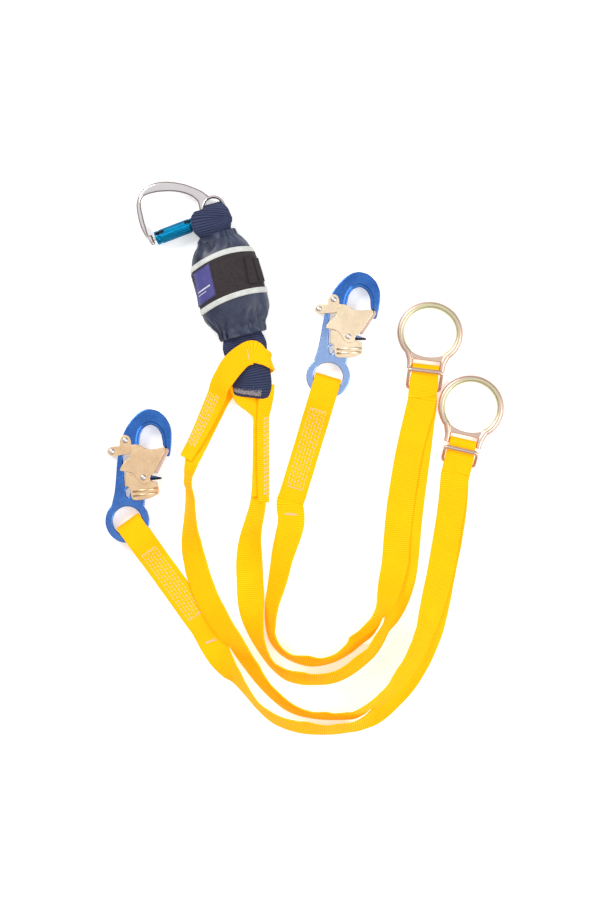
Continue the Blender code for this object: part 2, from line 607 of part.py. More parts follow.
def tieback_ring(side, spec):
    """A round ring with a crossbar, a slot and a bar that the leg folds over; slot towards -Y."""
    centre, turn = spec["centre"], spec["turn"]
    frame = empty(side + "_ring_frame", centre, turn)
    inner_r = RING_R - RING_WIRE
    outer_r = RING_R + RING_WIRE
    neck = 33.0 * MM
    start = math.degrees(math.asin(-27.0 * MM / outer_r))
    outline = arc((0.0, 0.0), outer_r, start, 180.0 - start, 30)
    end = -FOLD_BAR - 2.6 * MM
    outline += [(-POST_HALF - 0.6 * MM, -neck), (-POST_HALF, -FOLD_BAR), (-POST_HALF + 2.2 * MM, end),
                (POST_HALF - 2.2 * MM, end), (POST_HALF, -FOLD_BAR), (POST_HALF + 0.6 * MM, -neck)]
    dip = math.degrees(math.asin(-CROSSBAR[0] / inner_r))
    hole = arc((0.0, 0.0), inner_r, dip, 180.0 - dip, 30)
    slot = [(-SLOT_HALF, -CROSSBAR[1]), (SLOT_HALF, -CROSSBAR[1]), (SLOT_HALF, -FOLD_BAR + FOLD_BAR_R),
            (-SLOT_HALF, -FOLD_BAR + FOLD_BAR_R)]
    half = RING_WIRE * 0.92
    low = FOLD_BAR_R
    pivot = Vector((0.0, -FOLD_BAR, 0.0))
    body = node(side + "_ring", plate(outline, [hole, slot], -half, half), "ring_steel", frame, pivot)
    for end, z0, z1 in (("top", low, half + MM), ("under", -half - MM, -low)):
        cut = box((-SLOT_HALF, -FOLD_BAR - 8 * MM, z0), (SLOT_HALF, -CROSSBAR[1] - 1.0 * MM, z1))
        subtract(body, cut, side + "_ring_" + end + "_cutter")
    front = Vector((0.0, -spec["keeper"], KEEPER_TOP - RING_Z))
    rear = Vector((0.0, -KEEPER_REAR, KEEPER_LOW - RING_Z))
    wide = Vector((KEEPER_HALF, 0.0, 0.0))
    corners = [front - wide, front + wide, rear + wide, rear - wide]
    path = []
    for i, corner in enumerate(corners):
        before = (corners[i - 1] - corner).normalized()
        after = (corners[(i + 1) % 4] - corner).normalized()
        path += [corner + before * 3 * MM, corner + (before + after) * 0.9 * MM, corner + after * 3 * MM]
    node(side + "_keeper_loop", keeper_wire(path, (front - rear).normalized()), "ring_steel", frame, rear)


def keeper_wire(path, lean):
    """A round wire bent into a flat rectangular loop that lies in a leaning plane."""
    normal = Vector((1.0, 0.0, 0.0)).cross(lean).normalized()
    rings = []
    count = len(path)
    for i, point in enumerate(path):
        along = (path[(i + 1) % count] - path[i - 1]).normalized()
        side = along.cross(normal).normalized()
        rings.append([point + (side * math.cos(a) + normal * math.sin(a)) * KEEPER_WIRE
                      for a in (2 * math.pi * k / 8 for k in range(8))])
    return loft(rings, closed_path=True)


# ---------------------------------------------------------------- legs

def lying(points):
    """Stations of a strap on the ground from x, y, lean, lift and width; its left edge is raised."""
    stations = []
    for i, (x, y, lean, lift, width) in enumerate(points):
        before, after = points[max(i - 1, 0)], points[min(i + 1, len(points) - 1)]
        along = Vector((after[0] - before[0], after[1] - before[1], 0.0)).normalized()
        left = Vector((-along.y, along.x, 0.0))
        a = math.radians(lean)
        across = left * math.cos(a) + Vector((0.0, 0.0, math.sin(a)))
        z = width / 2 * math.sin(abs(a)) + WEB_T / 2 * math.cos(a) + GAP + lift
        stations.append((x, y, z, *across, width))
    return stations


def ring_place(side, distance, z):
    """A point on a ring's centre line, measured from the ring's centre towards the slot."""
    spec = RINGS[side]
    down = Vector((math.sin(spec["turn"]), -math.cos(spec["turn"]), 0.0))
    place = spec["centre"] + down * distance
    across = Vector((-math.cos(spec["turn"]), -math.sin(spec["turn"]), 0.0))
    return (place.x, place.y, z, *across, WEB)


def ring_fold(side):
    """The upper strand's last stretch: over the keeper's rear bar and round the fold bar."""
    keeper = RINGS[side]["keeper"]
    reach = FOLD_BAR_R * math.sqrt(2.0) + GAP + WEB_T / 2
    stations = [ring_place(side, 78 * MM, 4.6 * MM), ring_place(side, 70 * MM, 6.0 * MM),
                ring_place(side, KEEPER_REAR, 6.9 * MM),
                ring_place(side, (keeper + KEEPER_REAR) / 2, 7.6 * MM),
                ring_place(side, FOLD_BAR + 6 * MM, 8.6 * MM)]
    for angle in (90, 135, 180, 225, 262):
        a = math.radians(angle)
        stations.append(ring_place(side, FOLD_BAR + reach * math.cos(a), RING_Z + reach * math.sin(a)))
    return stations


def ring_under(side):
    """The lower strand's last stretch, ending just behind the fold bar's underside."""
    return [ring_place(side, 78 * MM, 1.9 * MM), ring_place(side, 70 * MM, 3.6 * MM),
            ring_place(side, KEEPER_REAR, 4.6 * MM), ring_place(side, 54 * MM, 3.4 * MM),
            ring_place(side, 47 * MM, 1.6 * MM), ring_place(side, FOLD_BAR + 1.3 * MM, 1.3 * MM)]


def hook_fold(side):
    """Sewn end of a leg: under the hook's eye, up through it and back on top of itself."""
    spec = HOOKS[side]
    along = spec["strap"].normalized()
    across = Vector((-along.y, along.x, 0.0))
    sewn = 128 * MM
    profile = [(sewn, 1.4), (100 * MM, 1.4), (60 * MM, 1.4), (30 * MM, 1.4), (12 * MM, 1.4)]
    for angle in (240, 200, 160, 120):
        a = math.radians(angle)
        profile.append((9.6 * MM + 8.2 * MM * math.cos(a), 9.6 + 8.2 * math.sin(a)))
    profile += [(12 * MM, 17.6), (25 * MM, 17.2), (36 * MM, 13.6), (52 * MM, 6.6), (66 * MM, 4.0),
                (100 * MM, 3.8), (sewn + 1 * MM, 3.8), (sewn + 12 * MM, 2.4)]
    stations = []
    for distance, z in profile:
        place = spec["eye"] + along * distance
        stations.append((place.x, place.y, z * MM, *across, WEB))
    return stations


LEFT_PACK_WEB = [
    (-0.0316, -0.1723, 0, 0, WEB), (-0.0369, -0.183, 0, 0, WEB),
    (-0.0412, -0.1937, 10, 0, WEB), (-0.0428, -0.2044, 54, 0, WEB),
    (-0.0428, -0.2161, 76, 0, WEB), (-0.0412, -0.2322, 70, 0, WEB),
    (-0.0412, -0.2536, 62, 0, WEB), (-0.0396, -0.2803, 40, 0, WEB),
    (-0.0364, -0.2964, 32, 0.002, WEB), (-0.0321, -0.3124, 27, 0.0052, WEB),
    (-0.023, -0.3371, 27, 0.0054, WEB), (-0.0086, -0.3628, 35.4, 0.0055, WEB),
    (0.0075, -0.3846, 55.2, 0.0086, WEB), (0.0214, -0.4066, 60.1, 0.0015, WEB),
    (0.0407, -0.4323, 66, 0, WEB), (0.0642, -0.4526, 68, 0, WEB),
    (0.0888, -0.4617, 74, 0, WEB), (0.1166, -0.4633, 74, 0, WEB),
    (0.1335, -0.4603, 72.5, 0.0087, WEB), (0.1496, -0.4521, 78.2, 0.0151, WEB),
    (0.1656, -0.4419, 61.7, 0.0114, WEB), (0.1808, -0.4253, 57, 0.009, WEB),
    (0.1969, -0.4012, 50, 0.0072, WEB), (0.2087, -0.3734, 42, 0.0052, WEB),
    (0.2177, -0.3435, 24, 0.0034, WEB), (0.2258, -0.3103, 6, 0.0028, WEB),
    (0.2322, -0.275, 0, 0.0025, WEB), (0.2375, -0.2407, 0, 0.0025, WEB),
]
LEFT_HOOK_WEB = [
    (-0.0167, -0.3878, 0, 0, 0.0278), (-0.0029, -0.4091, 38.2, 0, 0.0279),
    (0.0075, -0.4216, 64, 0, WEB), (0.0198, -0.4376, 74, 0, WEB),
    (0.0321, -0.4526, 76, 0, WEB), (0.0503, -0.4665, 68, 0, WEB),
    (0.076, -0.4751, 64, 0, WEB), (0.1049, -0.4778, 68, 0, WEB),
    (0.1284, -0.4755, 68.6, 0, WEB), (0.1446, -0.4701, 56.4, 0, 0.0241),
    (0.1598, -0.4608, 34.5, 0, 0.0219), (0.1745, -0.4462, 24.2, 0, 0.0222),
    (0.1894, -0.428, 20, 0, 0.024), (0.2033, -0.4034, 18, 0, 0.026),
    (0.2135, -0.3745, 16, 0, WEB), (0.2204, -0.3435, 12, 0, WEB),
    (0.2252, -0.3103, 4, 0, WEB), (0.2317, -0.275, 0, 0, WEB),
    (0.237, -0.2407, 0, 0, WEB),
]
RIGHT_PACK_WEB = [
    (0.0316, -0.2386, 50, 0, WEB), (0.0267, -0.2557, 46, 0, WEB),
    (0.023, -0.275, 34, 0, WEB), (0.0219, -0.2964, 14, 0, WEB),
    (0.0225, -0.3178, 2, 0, WEB), (0.0235, -0.3392, 8, 0, WEB),
    (0.0262, -0.3606, 38, 0, WEB), (0.0321, -0.3831, 64, 0, WEB),
    (0.0407, -0.4002, 74, 0, WEB), (0.0492, -0.4103, 74, 0, WEB),
    (0.0621, -0.4189, 66, 0, WEB), (0.076, -0.4226, 62, 0, WEB),
    (0.092, -0.4237, 63, 0, WEB), (0.1113, -0.4216, 63, 0, WEB),
    (0.1295, -0.413, 63, 0, WEB), (0.1498, -0.397, 66, 0, WEB),
    (0.1603, -0.3831, 68.3, 0, WEB), (0.168, -0.3691, 67.7, 0, 0.024),
    (0.1733, -0.3547, 47, 0, 0.0193), (0.1776, -0.339, 28.3, 0, 0.02),
    (0.1808, -0.3221, 14, 0, 0.024), (0.183, -0.3028, 4, 0, WEB),
    (0.1851, -0.275, 0, 0, WEB), (0.1878, -0.2429, 0, 0, WEB),
    (0.1921, -0.2108, 0, 0, WEB), (0.1969, -0.1765, 0, 0, WEB),
]
RIGHT_HOOK_WEB = [
    (0.0663, -0.2579, 8, 0, WEB), (0.0578, -0.291, 34, 0, WEB),
    (0.0503, -0.3263, 50, 0, WEB), (0.0455, -0.3456, 62, 0, WEB),
    (0.0439, -0.3627, 70, 0, WEB), (0.0465, -0.3799, 75, 0, WEB),
    (0.0556, -0.3927, 76, 0, WEB), (0.0674, -0.4007, 76, 0, WEB),
    (0.0845, -0.4045, 68, 0, WEB), (0.0984, -0.405, 73, 0, WEB),
    (0.1134, -0.4007, 73, 0, WEB), (0.1252, -0.3932, 70, 0, WEB),
    (0.1359, -0.3836, 64, 0, WEB), (0.1478, -0.3714, 61.8, 0.0102, WEB),
    (0.1589, -0.3552, 66.6, 0.0168, WEB), (0.1669, -0.339, 42.5, 0.0142, WEB),
    (0.1728, -0.3199, 22, 0.0066, WEB), (0.1776, -0.2985, 6, 0.004, WEB),
    (0.1814, -0.2728, 0, 0.0025, WEB), (0.1851, -0.2407, 0, 0.0025, WEB),
    (0.1899, -0.2065, 0, 0.0025, WEB), (0.1953, -0.1744, 0, 0.0025, WEB),
]


def legs():
    yellow = "yellow_web"
    node("left_leg_pack_web", ribbon(lying(LEFT_PACK_WEB) + ring_fold("left"), WEB_T, 2), yellow)
    lower = hook_fold("left") + lying(LEFT_HOOK_WEB) + ring_under("left")
    node("left_leg_hook_web", ribbon(lower, WEB_T, 2), yellow)
    upper = hook_fold("right") + lying(RIGHT_HOOK_WEB) + ring_fold("right")
    node("right_leg_hook_web", ribbon(upper, WEB_T, 2), yellow)
    node("right_leg_pack_web", ribbon(lying(RIGHT_PACK_WEB) + ring_under("right"), WEB_T, 2), yellow)


def left_leg_eye():
    """The left leg's sewn eye: over the front of the navy loop, round its right edge and back beneath."""
    # x, y, z, width direction x y z
    stations = [(-0.0290, -0.1675, 1.3, -0.86, 0.51, 0), (-0.020, -0.148, 1.3, -0.88, 0.47, 0),
                (-0.0065, -0.118, 1.3, -0.88, 0.47, 0), (0.010, -0.104, 1.4, -0.72, 0.69, 0),
                (0.030, -0.096, 1.5, -0.30, 0.95, 0), (0.0430, -0.091, 3.0, -0.20, 0.98, 0),
                (0.0480, -0.088, 9.0, -0.10, 0.99, 0), (0.0490, -0.086, 15.0, 0.0, 1.0, 0),
                (0.0478, -0.084, 21.5, 0.30, 0.95, 0), (0.0420, -0.081, 25.8, 0.5, 0.86, 0.0),
                (0.0280, -0.0775, 26.2, 0.1, 0.99, 0), (0.0150, -0.082, 26.2, -0.45, 0.89, 0),
                (0.0040, -0.093, 25.6, -0.66, 0.71, -0.1), (-0.0030, -0.102, 22.0, -0.70, 0.64, -0.30),
                (-0.0080, -0.110, 17.0, -0.77, 0.56, -0.45), (-0.0130, -0.121, 9.8, -0.86, 0.47, -0.42),
                (-0.0190, -0.133, 4.4, -0.88, 0.47, -0.05), (-0.0260, -0.148, 3.7, -0.88, 0.47, 0),
                (-0.0340, -0.165, 3.9, -0.88, 0.47, 0), (-0.0428, -0.1846, 4.6, -0.88, 0.47, 0)]
    web = [(x, y, z * MM, a, b, c, WEB) for x, y, z, a, b, c in stations]
    node("left_leg_eye_web", ribbon(web, WEB_T, 2), "yellow_web")


def right_leg_eye():
    """The right leg's sewn eye, folded lengthwise, passing crosswise inside the navy loop."""
    # x, y, z of the middle; the folded web stands on edge
    path = [(0.0300, -0.2290, 7.6), (0.0300, -0.200, 7.6), (0.0300, -0.170, 7.6), (0.0290, -0.148, 7.6),
            (0.0240, -0.1375, 8.5), (0.0110, -0.1295, 10.0), (0.0020, -0.1220, 11.8),
            (0.0018, -0.1150, 12.2), (0.0070, -0.1110, 12.2), (0.0230, -0.1110, 12.2),
            (0.0390, -0.1130, 12.2), (0.0465, -0.1180, 12.0), (0.0475, -0.1250, 11.0),
            (0.0440, -0.1360, 9.0), (0.0405, -0.148, 7.6), (0.0395, -0.170, 7.6), (0.0395, -0.200, 7.6),
            (0.0395, -0.2330, 7.6)]
    stations = [(x, y, z * MM, 0.0, 0.0, 1.0, FOLDED_EYE_WIDTH) for x, y, z in path]
    node("right_leg_eye_web", ribbon(stations, FOLDED_EYE_T, 2), "yellow_web")


# ---------------------------------------------------------------- the whole object

def main():
    clear_scene()
    pack = empty("pack_frame", (0.0, 0.0, 0.0), PACK_TILT)
    pack_cover(pack)
    absorber_core(pack)
    pack_trim(pack)
    pack_elastics(pack)
    upper_loop(pack)
    lower_loop()
    carabiner()
    for side, spec in HOOKS.items():
        snap_hook(side, spec)
    for side, spec in RINGS.items():
        tieback_ring(side, spec)
    legs()
    left_leg_eye()
    right_leg_eye()
    bpy.context.view_layer.update()


main()
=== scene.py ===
"""Looks for the twin leg shock absorbing lanyard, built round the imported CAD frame.

Metres, +Z up, in the CAD's frame. Straps are dense ribbed sheets close to the CAD's
routes, forgings are rounded and fused, and every material is procedural.
"""
import math

import bmesh
import bpy
import numpy as np
from mathutils import Matrix, Vector, noise


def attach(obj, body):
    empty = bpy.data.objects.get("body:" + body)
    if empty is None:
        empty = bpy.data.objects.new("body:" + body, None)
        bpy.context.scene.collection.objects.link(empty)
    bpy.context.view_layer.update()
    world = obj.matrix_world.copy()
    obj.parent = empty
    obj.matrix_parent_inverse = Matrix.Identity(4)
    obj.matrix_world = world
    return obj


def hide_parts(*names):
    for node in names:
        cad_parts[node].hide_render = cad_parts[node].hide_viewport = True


MM = 0.001
GAP = 0.3 * MM
WEB = 28.6 * MM
WEB_T = 2.0 * MM
NAVY_T = 2.4 * MM
STRAP_STEP = 0.42 * MM
RIB_PITCH = 2.2 * MM
VOXEL = 0.42 * MM
OFF_FLOOR = 0.05 * MM
BEAD = 0.12 * MM

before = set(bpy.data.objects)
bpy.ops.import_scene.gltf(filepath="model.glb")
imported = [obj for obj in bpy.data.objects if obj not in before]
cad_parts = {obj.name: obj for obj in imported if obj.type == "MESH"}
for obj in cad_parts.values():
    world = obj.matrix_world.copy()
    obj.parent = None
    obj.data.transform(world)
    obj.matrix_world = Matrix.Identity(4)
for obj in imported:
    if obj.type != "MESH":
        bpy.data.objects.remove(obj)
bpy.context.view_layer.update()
scene = bpy.context.scene

# ---------------------------------------------------------------- camera

VIEW_CENTRE = (0.076, -0.179)
VIEW_HEIGHT = 0.963
CAMERA_AT = 4.0
camera_data = bpy.data.cameras.new("camera")
camera_data.sensor_fit = "VERTICAL"
camera_data.sensor_height = 36.0
camera_data.lens = 36.0 * CAMERA_AT / VIEW_HEIGHT
camera_data.clip_end = 20.0
camera = bpy.data.objects.new("camera", camera_data)
camera.location = (*VIEW_CENTRE, CAMERA_AT)
scene.collection.objects.link(camera)
scene.camera = camera


# ---------------------------------------------------------------- pieces and meshes

def bind(piece, body, node=None):
    """Fix a piece to a body; node names the CAD piece it stands for."""
    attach(piece, body)
    if node:
        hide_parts(node)
    return piece


def link(name, mesh, material, matrix=None):
    if matrix is not None:
        mesh.transform(matrix)
    mesh.materials.clear()
    mesh.materials.append(material)
    piece = bpy.data.objects.new(name, mesh)
    scene.collection.objects.link(piece)
    return piece


def mesh_from(name, points, faces, uv=None):
    """A smooth mesh from arrays, turned so that its faces look outwards."""
    points, faces = np.asarray(points, float), np.asarray(faces)
    a, b, c = (points[faces[:, k]] for k in (0, 1, 2))
    volume = np.einsum("ij,ij->i", a, np.cross(b, c)).sum()
    d = points[faces[:, 3]]
    volume += np.einsum("ij,ij->i", a, np.cross(c, d)).sum()
    if volume < 0:
        faces = faces[:, ::-1]
    mesh = bpy.data.meshes.new(name)
    mesh.vertices.add(len(points))
    mesh.vertices.foreach_set("co", points.ravel())
    mesh.loops.add(faces.size)
    mesh.loops.foreach_set("vertex_index", faces.ravel().astype(np.int32))
    mesh.polygons.add(len(faces))
    mesh.polygons.foreach_set("loop_start", np.arange(0, faces.size, 4, dtype=np.int32))
    if uv is not None:
        layer = mesh.uv_layers.new(name="along")
        layer.data.foreach_set("uv", np.asarray(uv, float)[faces.ravel()].ravel())
    mesh.update(calc_edges=True)
    mesh.validate()
    mesh.shade_smooth()
    return mesh


def tube_grid(rows, uv=None, closed=False):
    """Points and quads skinning rows of equally many points, capped unless the rows close up."""
    rows = np.asarray(rows, float)
    count, sides = rows.shape[:2]
    index = np.arange(count * sides).reshape(count, sides)
    following = np.roll(index, -1, axis=1)
    last = index if closed else index[:-1]
    nxt = np.roll(index, -1, axis=0) if closed else index[1:]
    lastf = following if closed else following[:-1]
    nxtf = np.roll(following, -1, axis=0) if closed else following[1:]
    faces = np.stack([last, lastf, nxtf, nxt], axis=-1).reshape(-1, 4)
    if not closed:
        caps = []
        for row, flip in ((index[0], True), (index[-1], False)):
            half = sides // 2
            for k in range(half - 1):
                quad = [row[k], row[k + 1], row[sides - 2 - k], row[sides - 1 - k]]
                caps.append(quad[::-1] if flip else quad)
        faces = np.vstack([faces, np.array(caps)])
    flat_uv = None if uv is None else np.asarray(uv, float).reshape(-1, 2)
    return rows.reshape(-1, 3), faces, flat_uv


def spline(points, per_span):
    """Catmull-Rom through every point, whatever its number of components."""
    p = np.asarray(points, float)
    last = len(p) - 1
    t = (np.arange(per_span) / per_span)[:, None]
    out = []
    for i in range(last):
        p0, p1, p2, p3 = p[[min(max(i + k, 0), last) for k in (-1, 0, 1, 2)]]
        out.append(0.5 * (2 * p1 + (p2 - p0) * t + (2 * p0 - 5 * p1 + 4 * p2 - p3) * t ** 2
                          + (3 * p1 - p0 - 3 * p2 + p3) * t ** 3))
    out.append(p[-1:])
    return np.vstack(out)


def unit(v):
    return v / np.maximum(np.linalg.norm(v, axis=-1, keepdims=True), 1e-12)


def wobble(values, seed, scale):
    """Smooth seeded noise along one line."""
    return np.array([noise.noise(Vector((v * scale, seed * 7.31, 0.37))) for v in values])


def smooth(obj, rounds):
    shape = bmesh.new()
    shape.from_mesh(obj.data)
    for _ in range(rounds):
        bmesh.ops.smooth_vert(shape, verts=shape.verts, factor=0.5, use_axis_x=True,
                              use_axis_y=True, use_axis_z=True)
    shape.to_mesh(obj.data)
    shape.free()


def applied(obj):
    """Replace an object's mesh by its modified mesh."""
    graph = bpy.context.evaluated_depsgraph_get()
    mesh = bpy.data.meshes.new_from_object(obj.evaluated_get(graph), depsgraph=graph)
    obj.modifiers.clear()
    obj.data = mesh
    return obj


def rounded_plate(outline, holes, low, high, bevel, segments=3):
    """Mesh of a flat plate with rolled edges, outlines in millimetres."""
    curve = bpy.data.curves.new("plate", "CURVE")
    curve.dimensions = "2D"
    curve.fill_mode = "BOTH"
    for points in [outline] + list(holes):
        line = curve.splines.new("POLY")
        line.points.add(len(points) - 1)
        line.points.foreach_set("co", [v for x, y in points for v in (x * MM, y * MM, 0.0, 1.0)])
        line.use_cyclic_u = True
    curve.extrude = (high - low) / 2 * MM - bevel * MM
    curve.bevel_depth = bevel * MM
    curve.bevel_resolution = segments - 1
    curve.offset = -bevel * MM
    holder = bpy.data.objects.new("plate", curve)
    scene.collection.objects.link(holder)
    graph = bpy.context.evaluated_depsgraph_get()
    mesh = bpy.data.meshes.new_from_object(holder.evaluated_get(graph), depsgraph=graph)
    bpy.data.objects.remove(holder)
    bpy.data.curves.remove(curve)
    shape = bmesh.new()
    shape.from_mesh(mesh)
    bmesh.ops.remove_doubles(shape, verts=shape.verts, dist=0.004 * MM)
    bmesh.ops.recalc_face_normals(shape, faces=shape.faces)
    bmesh.ops.translate(shape, verts=shape.verts, vec=(0, 0, (low + high) / 2 * MM))
    shape.to_mesh(mesh)
    shape.free()
    return mesh


def joined(meshes):
    shape = bmesh.new()
    for mesh in meshes:
        shape.from_mesh(mesh)
    out = bpy.data.meshes.new("joined")
    shape.to_mesh(out)
    shape.free()
    return out


def fused(name, meshes, material, rounds, matrix):
    """Overlapping closed meshes made one smooth forging."""
    piece = link(name, joined(meshes), material)
    remesh = piece.modifiers.new("remesh", "REMESH")
    remesh.mode, remesh.voxel_size = "VOXEL", VOXEL
    applied(piece)
    smooth(piece, rounds)
    piece.data.materials.clear()
    piece.data.materials.append(material)
    piece.data.transform(matrix)
    piece.data.shade_smooth()
    return piece


def lathe(profile, sides):
    """Mesh of a solid of revolution about Z; profile is (radius, height) in millimetres."""
    turns = np.arange(sides) / sides * 2 * math.pi
    rows = [[(r * MM * math.cos(a), r * MM * math.sin(a), z * MM) for a in turns] for r, z in profile]
    points, faces, _ = tube_grid(rows)
    return mesh_from("lathe", points, faces)


def bar(path, radius, sides, closed=False, flat=1.0):
    """Mesh of a round bar along a path of points in metres."""
    path = np.asarray(path, float)
    count = len(path)
    if closed:
        along = unit(np.roll(path, -1, axis=0) - np.roll(path, 1, axis=0))
    else:
        along = unit(np.gradient(path, axis=0))
    up = np.tile([0.0, 0.0, 1.0], (count, 1))
    side = unit(np.cross(along, up))
    up = np.cross(side, along)
    turns = np.arange(sides) / sides * 2 * math.pi
    radius = np.broadcast_to(np.asarray(radius, float), (count,))[:, None, None]
    rows = path[:, None] + radius * (side[:, None] * np.cos(turns)[None, :, None]
                                     + up[:, None] * flat * np.sin(turns)[None, :, None])
    points, faces, _ = tube_grid(rows, closed=closed)
    return mesh_from("bar", points, faces)


# ---------------------------------------------------------------- materials

class Graph:
    """A Principled material and short calls for its nodes."""

    def __init__(self, name, colour, roughness, metallic=0.0, **sockets):
        self.material = bpy.data.materials.new(name)
        self.material.use_nodes = True
        self.tree = self.material.node_tree
        self.shader = self.tree.nodes["Principled BSDF"]
        values = {"Base Color": (*colour, 1.0), "Roughness": roughness, "Metallic": metallic}
        values.update({key.replace("_", " "): value for key, value in sockets.items()})
        for key, value in values.items():
            self.shader.inputs[key].default_value = value

    def node(self, kind, inputs=(), **settings):
        made = self.tree.nodes.new("ShaderNode" + kind)
        for key, value in settings.items():
            setattr(made, key, value)
        for key, value in dict(inputs).items():
            if isinstance(value, bpy.types.NodeSocket):
                self.tree.links.new(value, made.inputs[key])
            else:
                made.inputs[key].default_value = value
        return made

    def math(self, operation, a, b=0.0):
        return self.node("Math", {0: a, 1: b}, operation=operation).outputs[0]

    def mix(self, factor, a, b):
        made = self.node("Mix", {0: factor}, data_type="RGBA")
        for socket, value in ((6, a), (7, b)):
            if isinstance(value, bpy.types.NodeSocket):
                self.tree.links.new(value, made.inputs[socket])
            else:
                made.inputs[socket].default_value = (*value, 1.0)
        return made.outputs[2]

    def noise(self, scale, detail=3.0, stretch=None):
        where = self.node("TexCoord").outputs["Object"]
        if stretch:
            where = self.node("Mapping", {"Vector": where, "Scale": stretch}).outputs[0]
        return self.node("TexNoise", {"Vector": where, "Scale": scale, "Detail": detail}).outputs["Fac"]

    def ramp(self, factor, low, high, to_low=0.0, to_high=1.0):
        return self.node("MapRange", {"Value": factor, "From Min": low, "From Max": high,
                                      "To Min": to_low, "To Max": to_high}).outputs[0]

    def bump(self, height, distance, strength=1.0, under=None):
        inputs = {"Height": height, "Distance": distance, "Strength": strength}
        if under is not None:
            inputs["Normal"] = under
        return self.node("Bump", inputs).outputs[0]

    def set(self, **sockets):
        for key, value in sockets.items():
            self.tree.links.new(value, self.shader.inputs[key.replace("_", " ")])
        return self.material


def woven(name, bright, dark, sheen, roughness=0.72, pitch=RIB_PITCH, spot=0.35, painted_glow=0.0):
    """Cross-ribbed strap weave; its UV is metres across and along the strap."""
    g = Graph(name, bright, roughness, Sheen_Weight=sheen, Sheen_Roughness=0.4, Specular_IOR_Level=0.12,
              Emission_Strength=painted_glow)
    place = g.node("SeparateXYZ", {0: g.node("UVMap", uv_map="along").outputs[0]})
    across, along = place.outputs[0], place.outputs[1]
    rib = g.math("ABSOLUTE", g.math("SINE", g.math("MULTIPLY", along, math.pi / pitch)))
    row = g.math("FLOOR", g.math("DIVIDE", along, pitch))
    shifted = g.math("ADD", g.math("MULTIPLY", across, math.pi / (0.75 * MM)), g.math("MULTIPLY", row, 1.57))
    yarn = g.math("ABSOLUTE", g.math("SINE", shifted))
    blotch = g.noise(38.0, 4.0)
    fine = g.noise(900.0, 2.0)
    groove = g.math("SUBTRACT", 1.0, g.math("POWER", rib, 0.6))
    # Painted shade: the rib grooves and the gaps between yarns darken the colour; the blotches and fine noise
    # are tone that differs at random.
    shade = g.math("ADD", g.math("MULTIPLY", groove, 0.8),
                   g.math("ADD", g.math("MULTIPLY", g.math("SUBTRACT", 1.0, yarn), 0.16),
                          g.math("ADD", g.math("MULTIPLY", blotch, spot), g.math("MULTIPLY", fine, 0.12))))
    shade = g.ramp(shade, 0.18, 0.95)
    height = g.math("ADD", g.math("MULTIPLY", yarn, 0.5), g.math("MULTIPLY", fine, 0.5))
    colour = g.mix(shade, bright, dark)
    if painted_glow:   # painted light: the strap glows with its own colour, lifting its shaded sides
        g.set(Emission_Color=colour)
    return g.set(Base_Color=colour, Normal=g.bump(height, 0.00018, 0.7),
                 Roughness=g.ramp(fine, 0.2, 0.8, roughness - 0.08, roughness + 0.12))


def cloth(name, bright, dark, weave, roughness, sheen, coarse=26.0, crease=0.0006):
    """Plain fabric: fine crossed yarns, soft patches, small creases."""
    g = Graph(name, bright, roughness, Sheen_Weight=sheen, Sheen_Roughness=0.35, Specular_IOR_Level=0.4)
    grid = g.math("ADD", g.noise(0.6 / weave, 1.0, stretch=(1.0, 0.25, 1.0)),
                  g.noise(0.6 / weave, 1.0, stretch=(0.25, 1.0, 1.0)))
    patch = g.noise(coarse, 5.0)
    fold = g.noise(coarse * 4.0, 4.0)
    yarns = g.math("MULTIPLY", g.math("SUBTRACT", grid, 1.0), 0.5)
    # Painted shade: the crease noise and the gaps between yarns darken the colour in their hollows; the
    # patches are tone that differs at random.
    tone = g.ramp(g.math("ADD", yarns, g.math("ADD", patch, g.math("MULTIPLY", fold, 0.4))), 0.35, 1.05)
    normal = g.bump(fold, crease, 0.6)
    return g.set(Base_Color=g.mix(tone, dark, bright),
                 Roughness=g.ramp(patch, 0.3, 0.7, roughness - 0.1, roughness + 0.1),
                 Normal=g.bump(grid, 0.00006, 0.5, normal))


def metal(name, colour, second, roughness, brushed=(30.0, 30.0, 400.0), patch=45.0, wear=0.5, coat=0.0,
          grain=0.00003, painted_highlight=None):
    """Plated or anodised metal with fine grain, cloudy plating and slightly rubbed patches."""
    g = Graph(name, colour, roughness, 1.0, Coat_Weight=coat, Coat_Roughness=0.12)
    cloud = g.noise(patch, 6.0)
    grain_value = g.noise(14.0, 4.0, stretch=brushed)
    speck = g.noise(1300.0, 2.0)
    tone = g.ramp(g.math("ADD", g.math("MULTIPLY", cloud, wear), g.math("MULTIPLY", grain_value, 1.0 - wear)),
                  0.30, 0.72)
    base = g.mix(tone, colour, second)
    # Painted highlight: a lighter colour mixed in by a per-point attribute, standing for reflections and
    # highlights.
    if painted_highlight:
        base = g.mix(g.node("Attribute", attribute_name="painted_highlight").outputs["Fac"], base, painted_highlight)
    rubbed = g.math("ADD", g.math("MULTIPLY", grain_value, 0.6), g.math("MULTIPLY", cloud, 0.4))
    return g.set(Base_Color=base,
                 Roughness=g.ramp(rubbed, 0.3, 0.7, max(roughness - 0.09, 0.04), roughness + 0.12),
                 Normal=g.bump(g.math("ADD", grain_value, g.math("MULTIPLY", speck, 0.6)), grain, 0.5))


def matte(name, colour, second, roughness, scale=300.0, bump=0.00004):
    g = Graph(name, colour, roughness)
    value = g.noise(scale, 3.0)
    return g.set(Base_Color=g.mix(g.ramp(value, 0.3, 0.7), colour, second), Normal=g.bump(value, bump, 0.5))
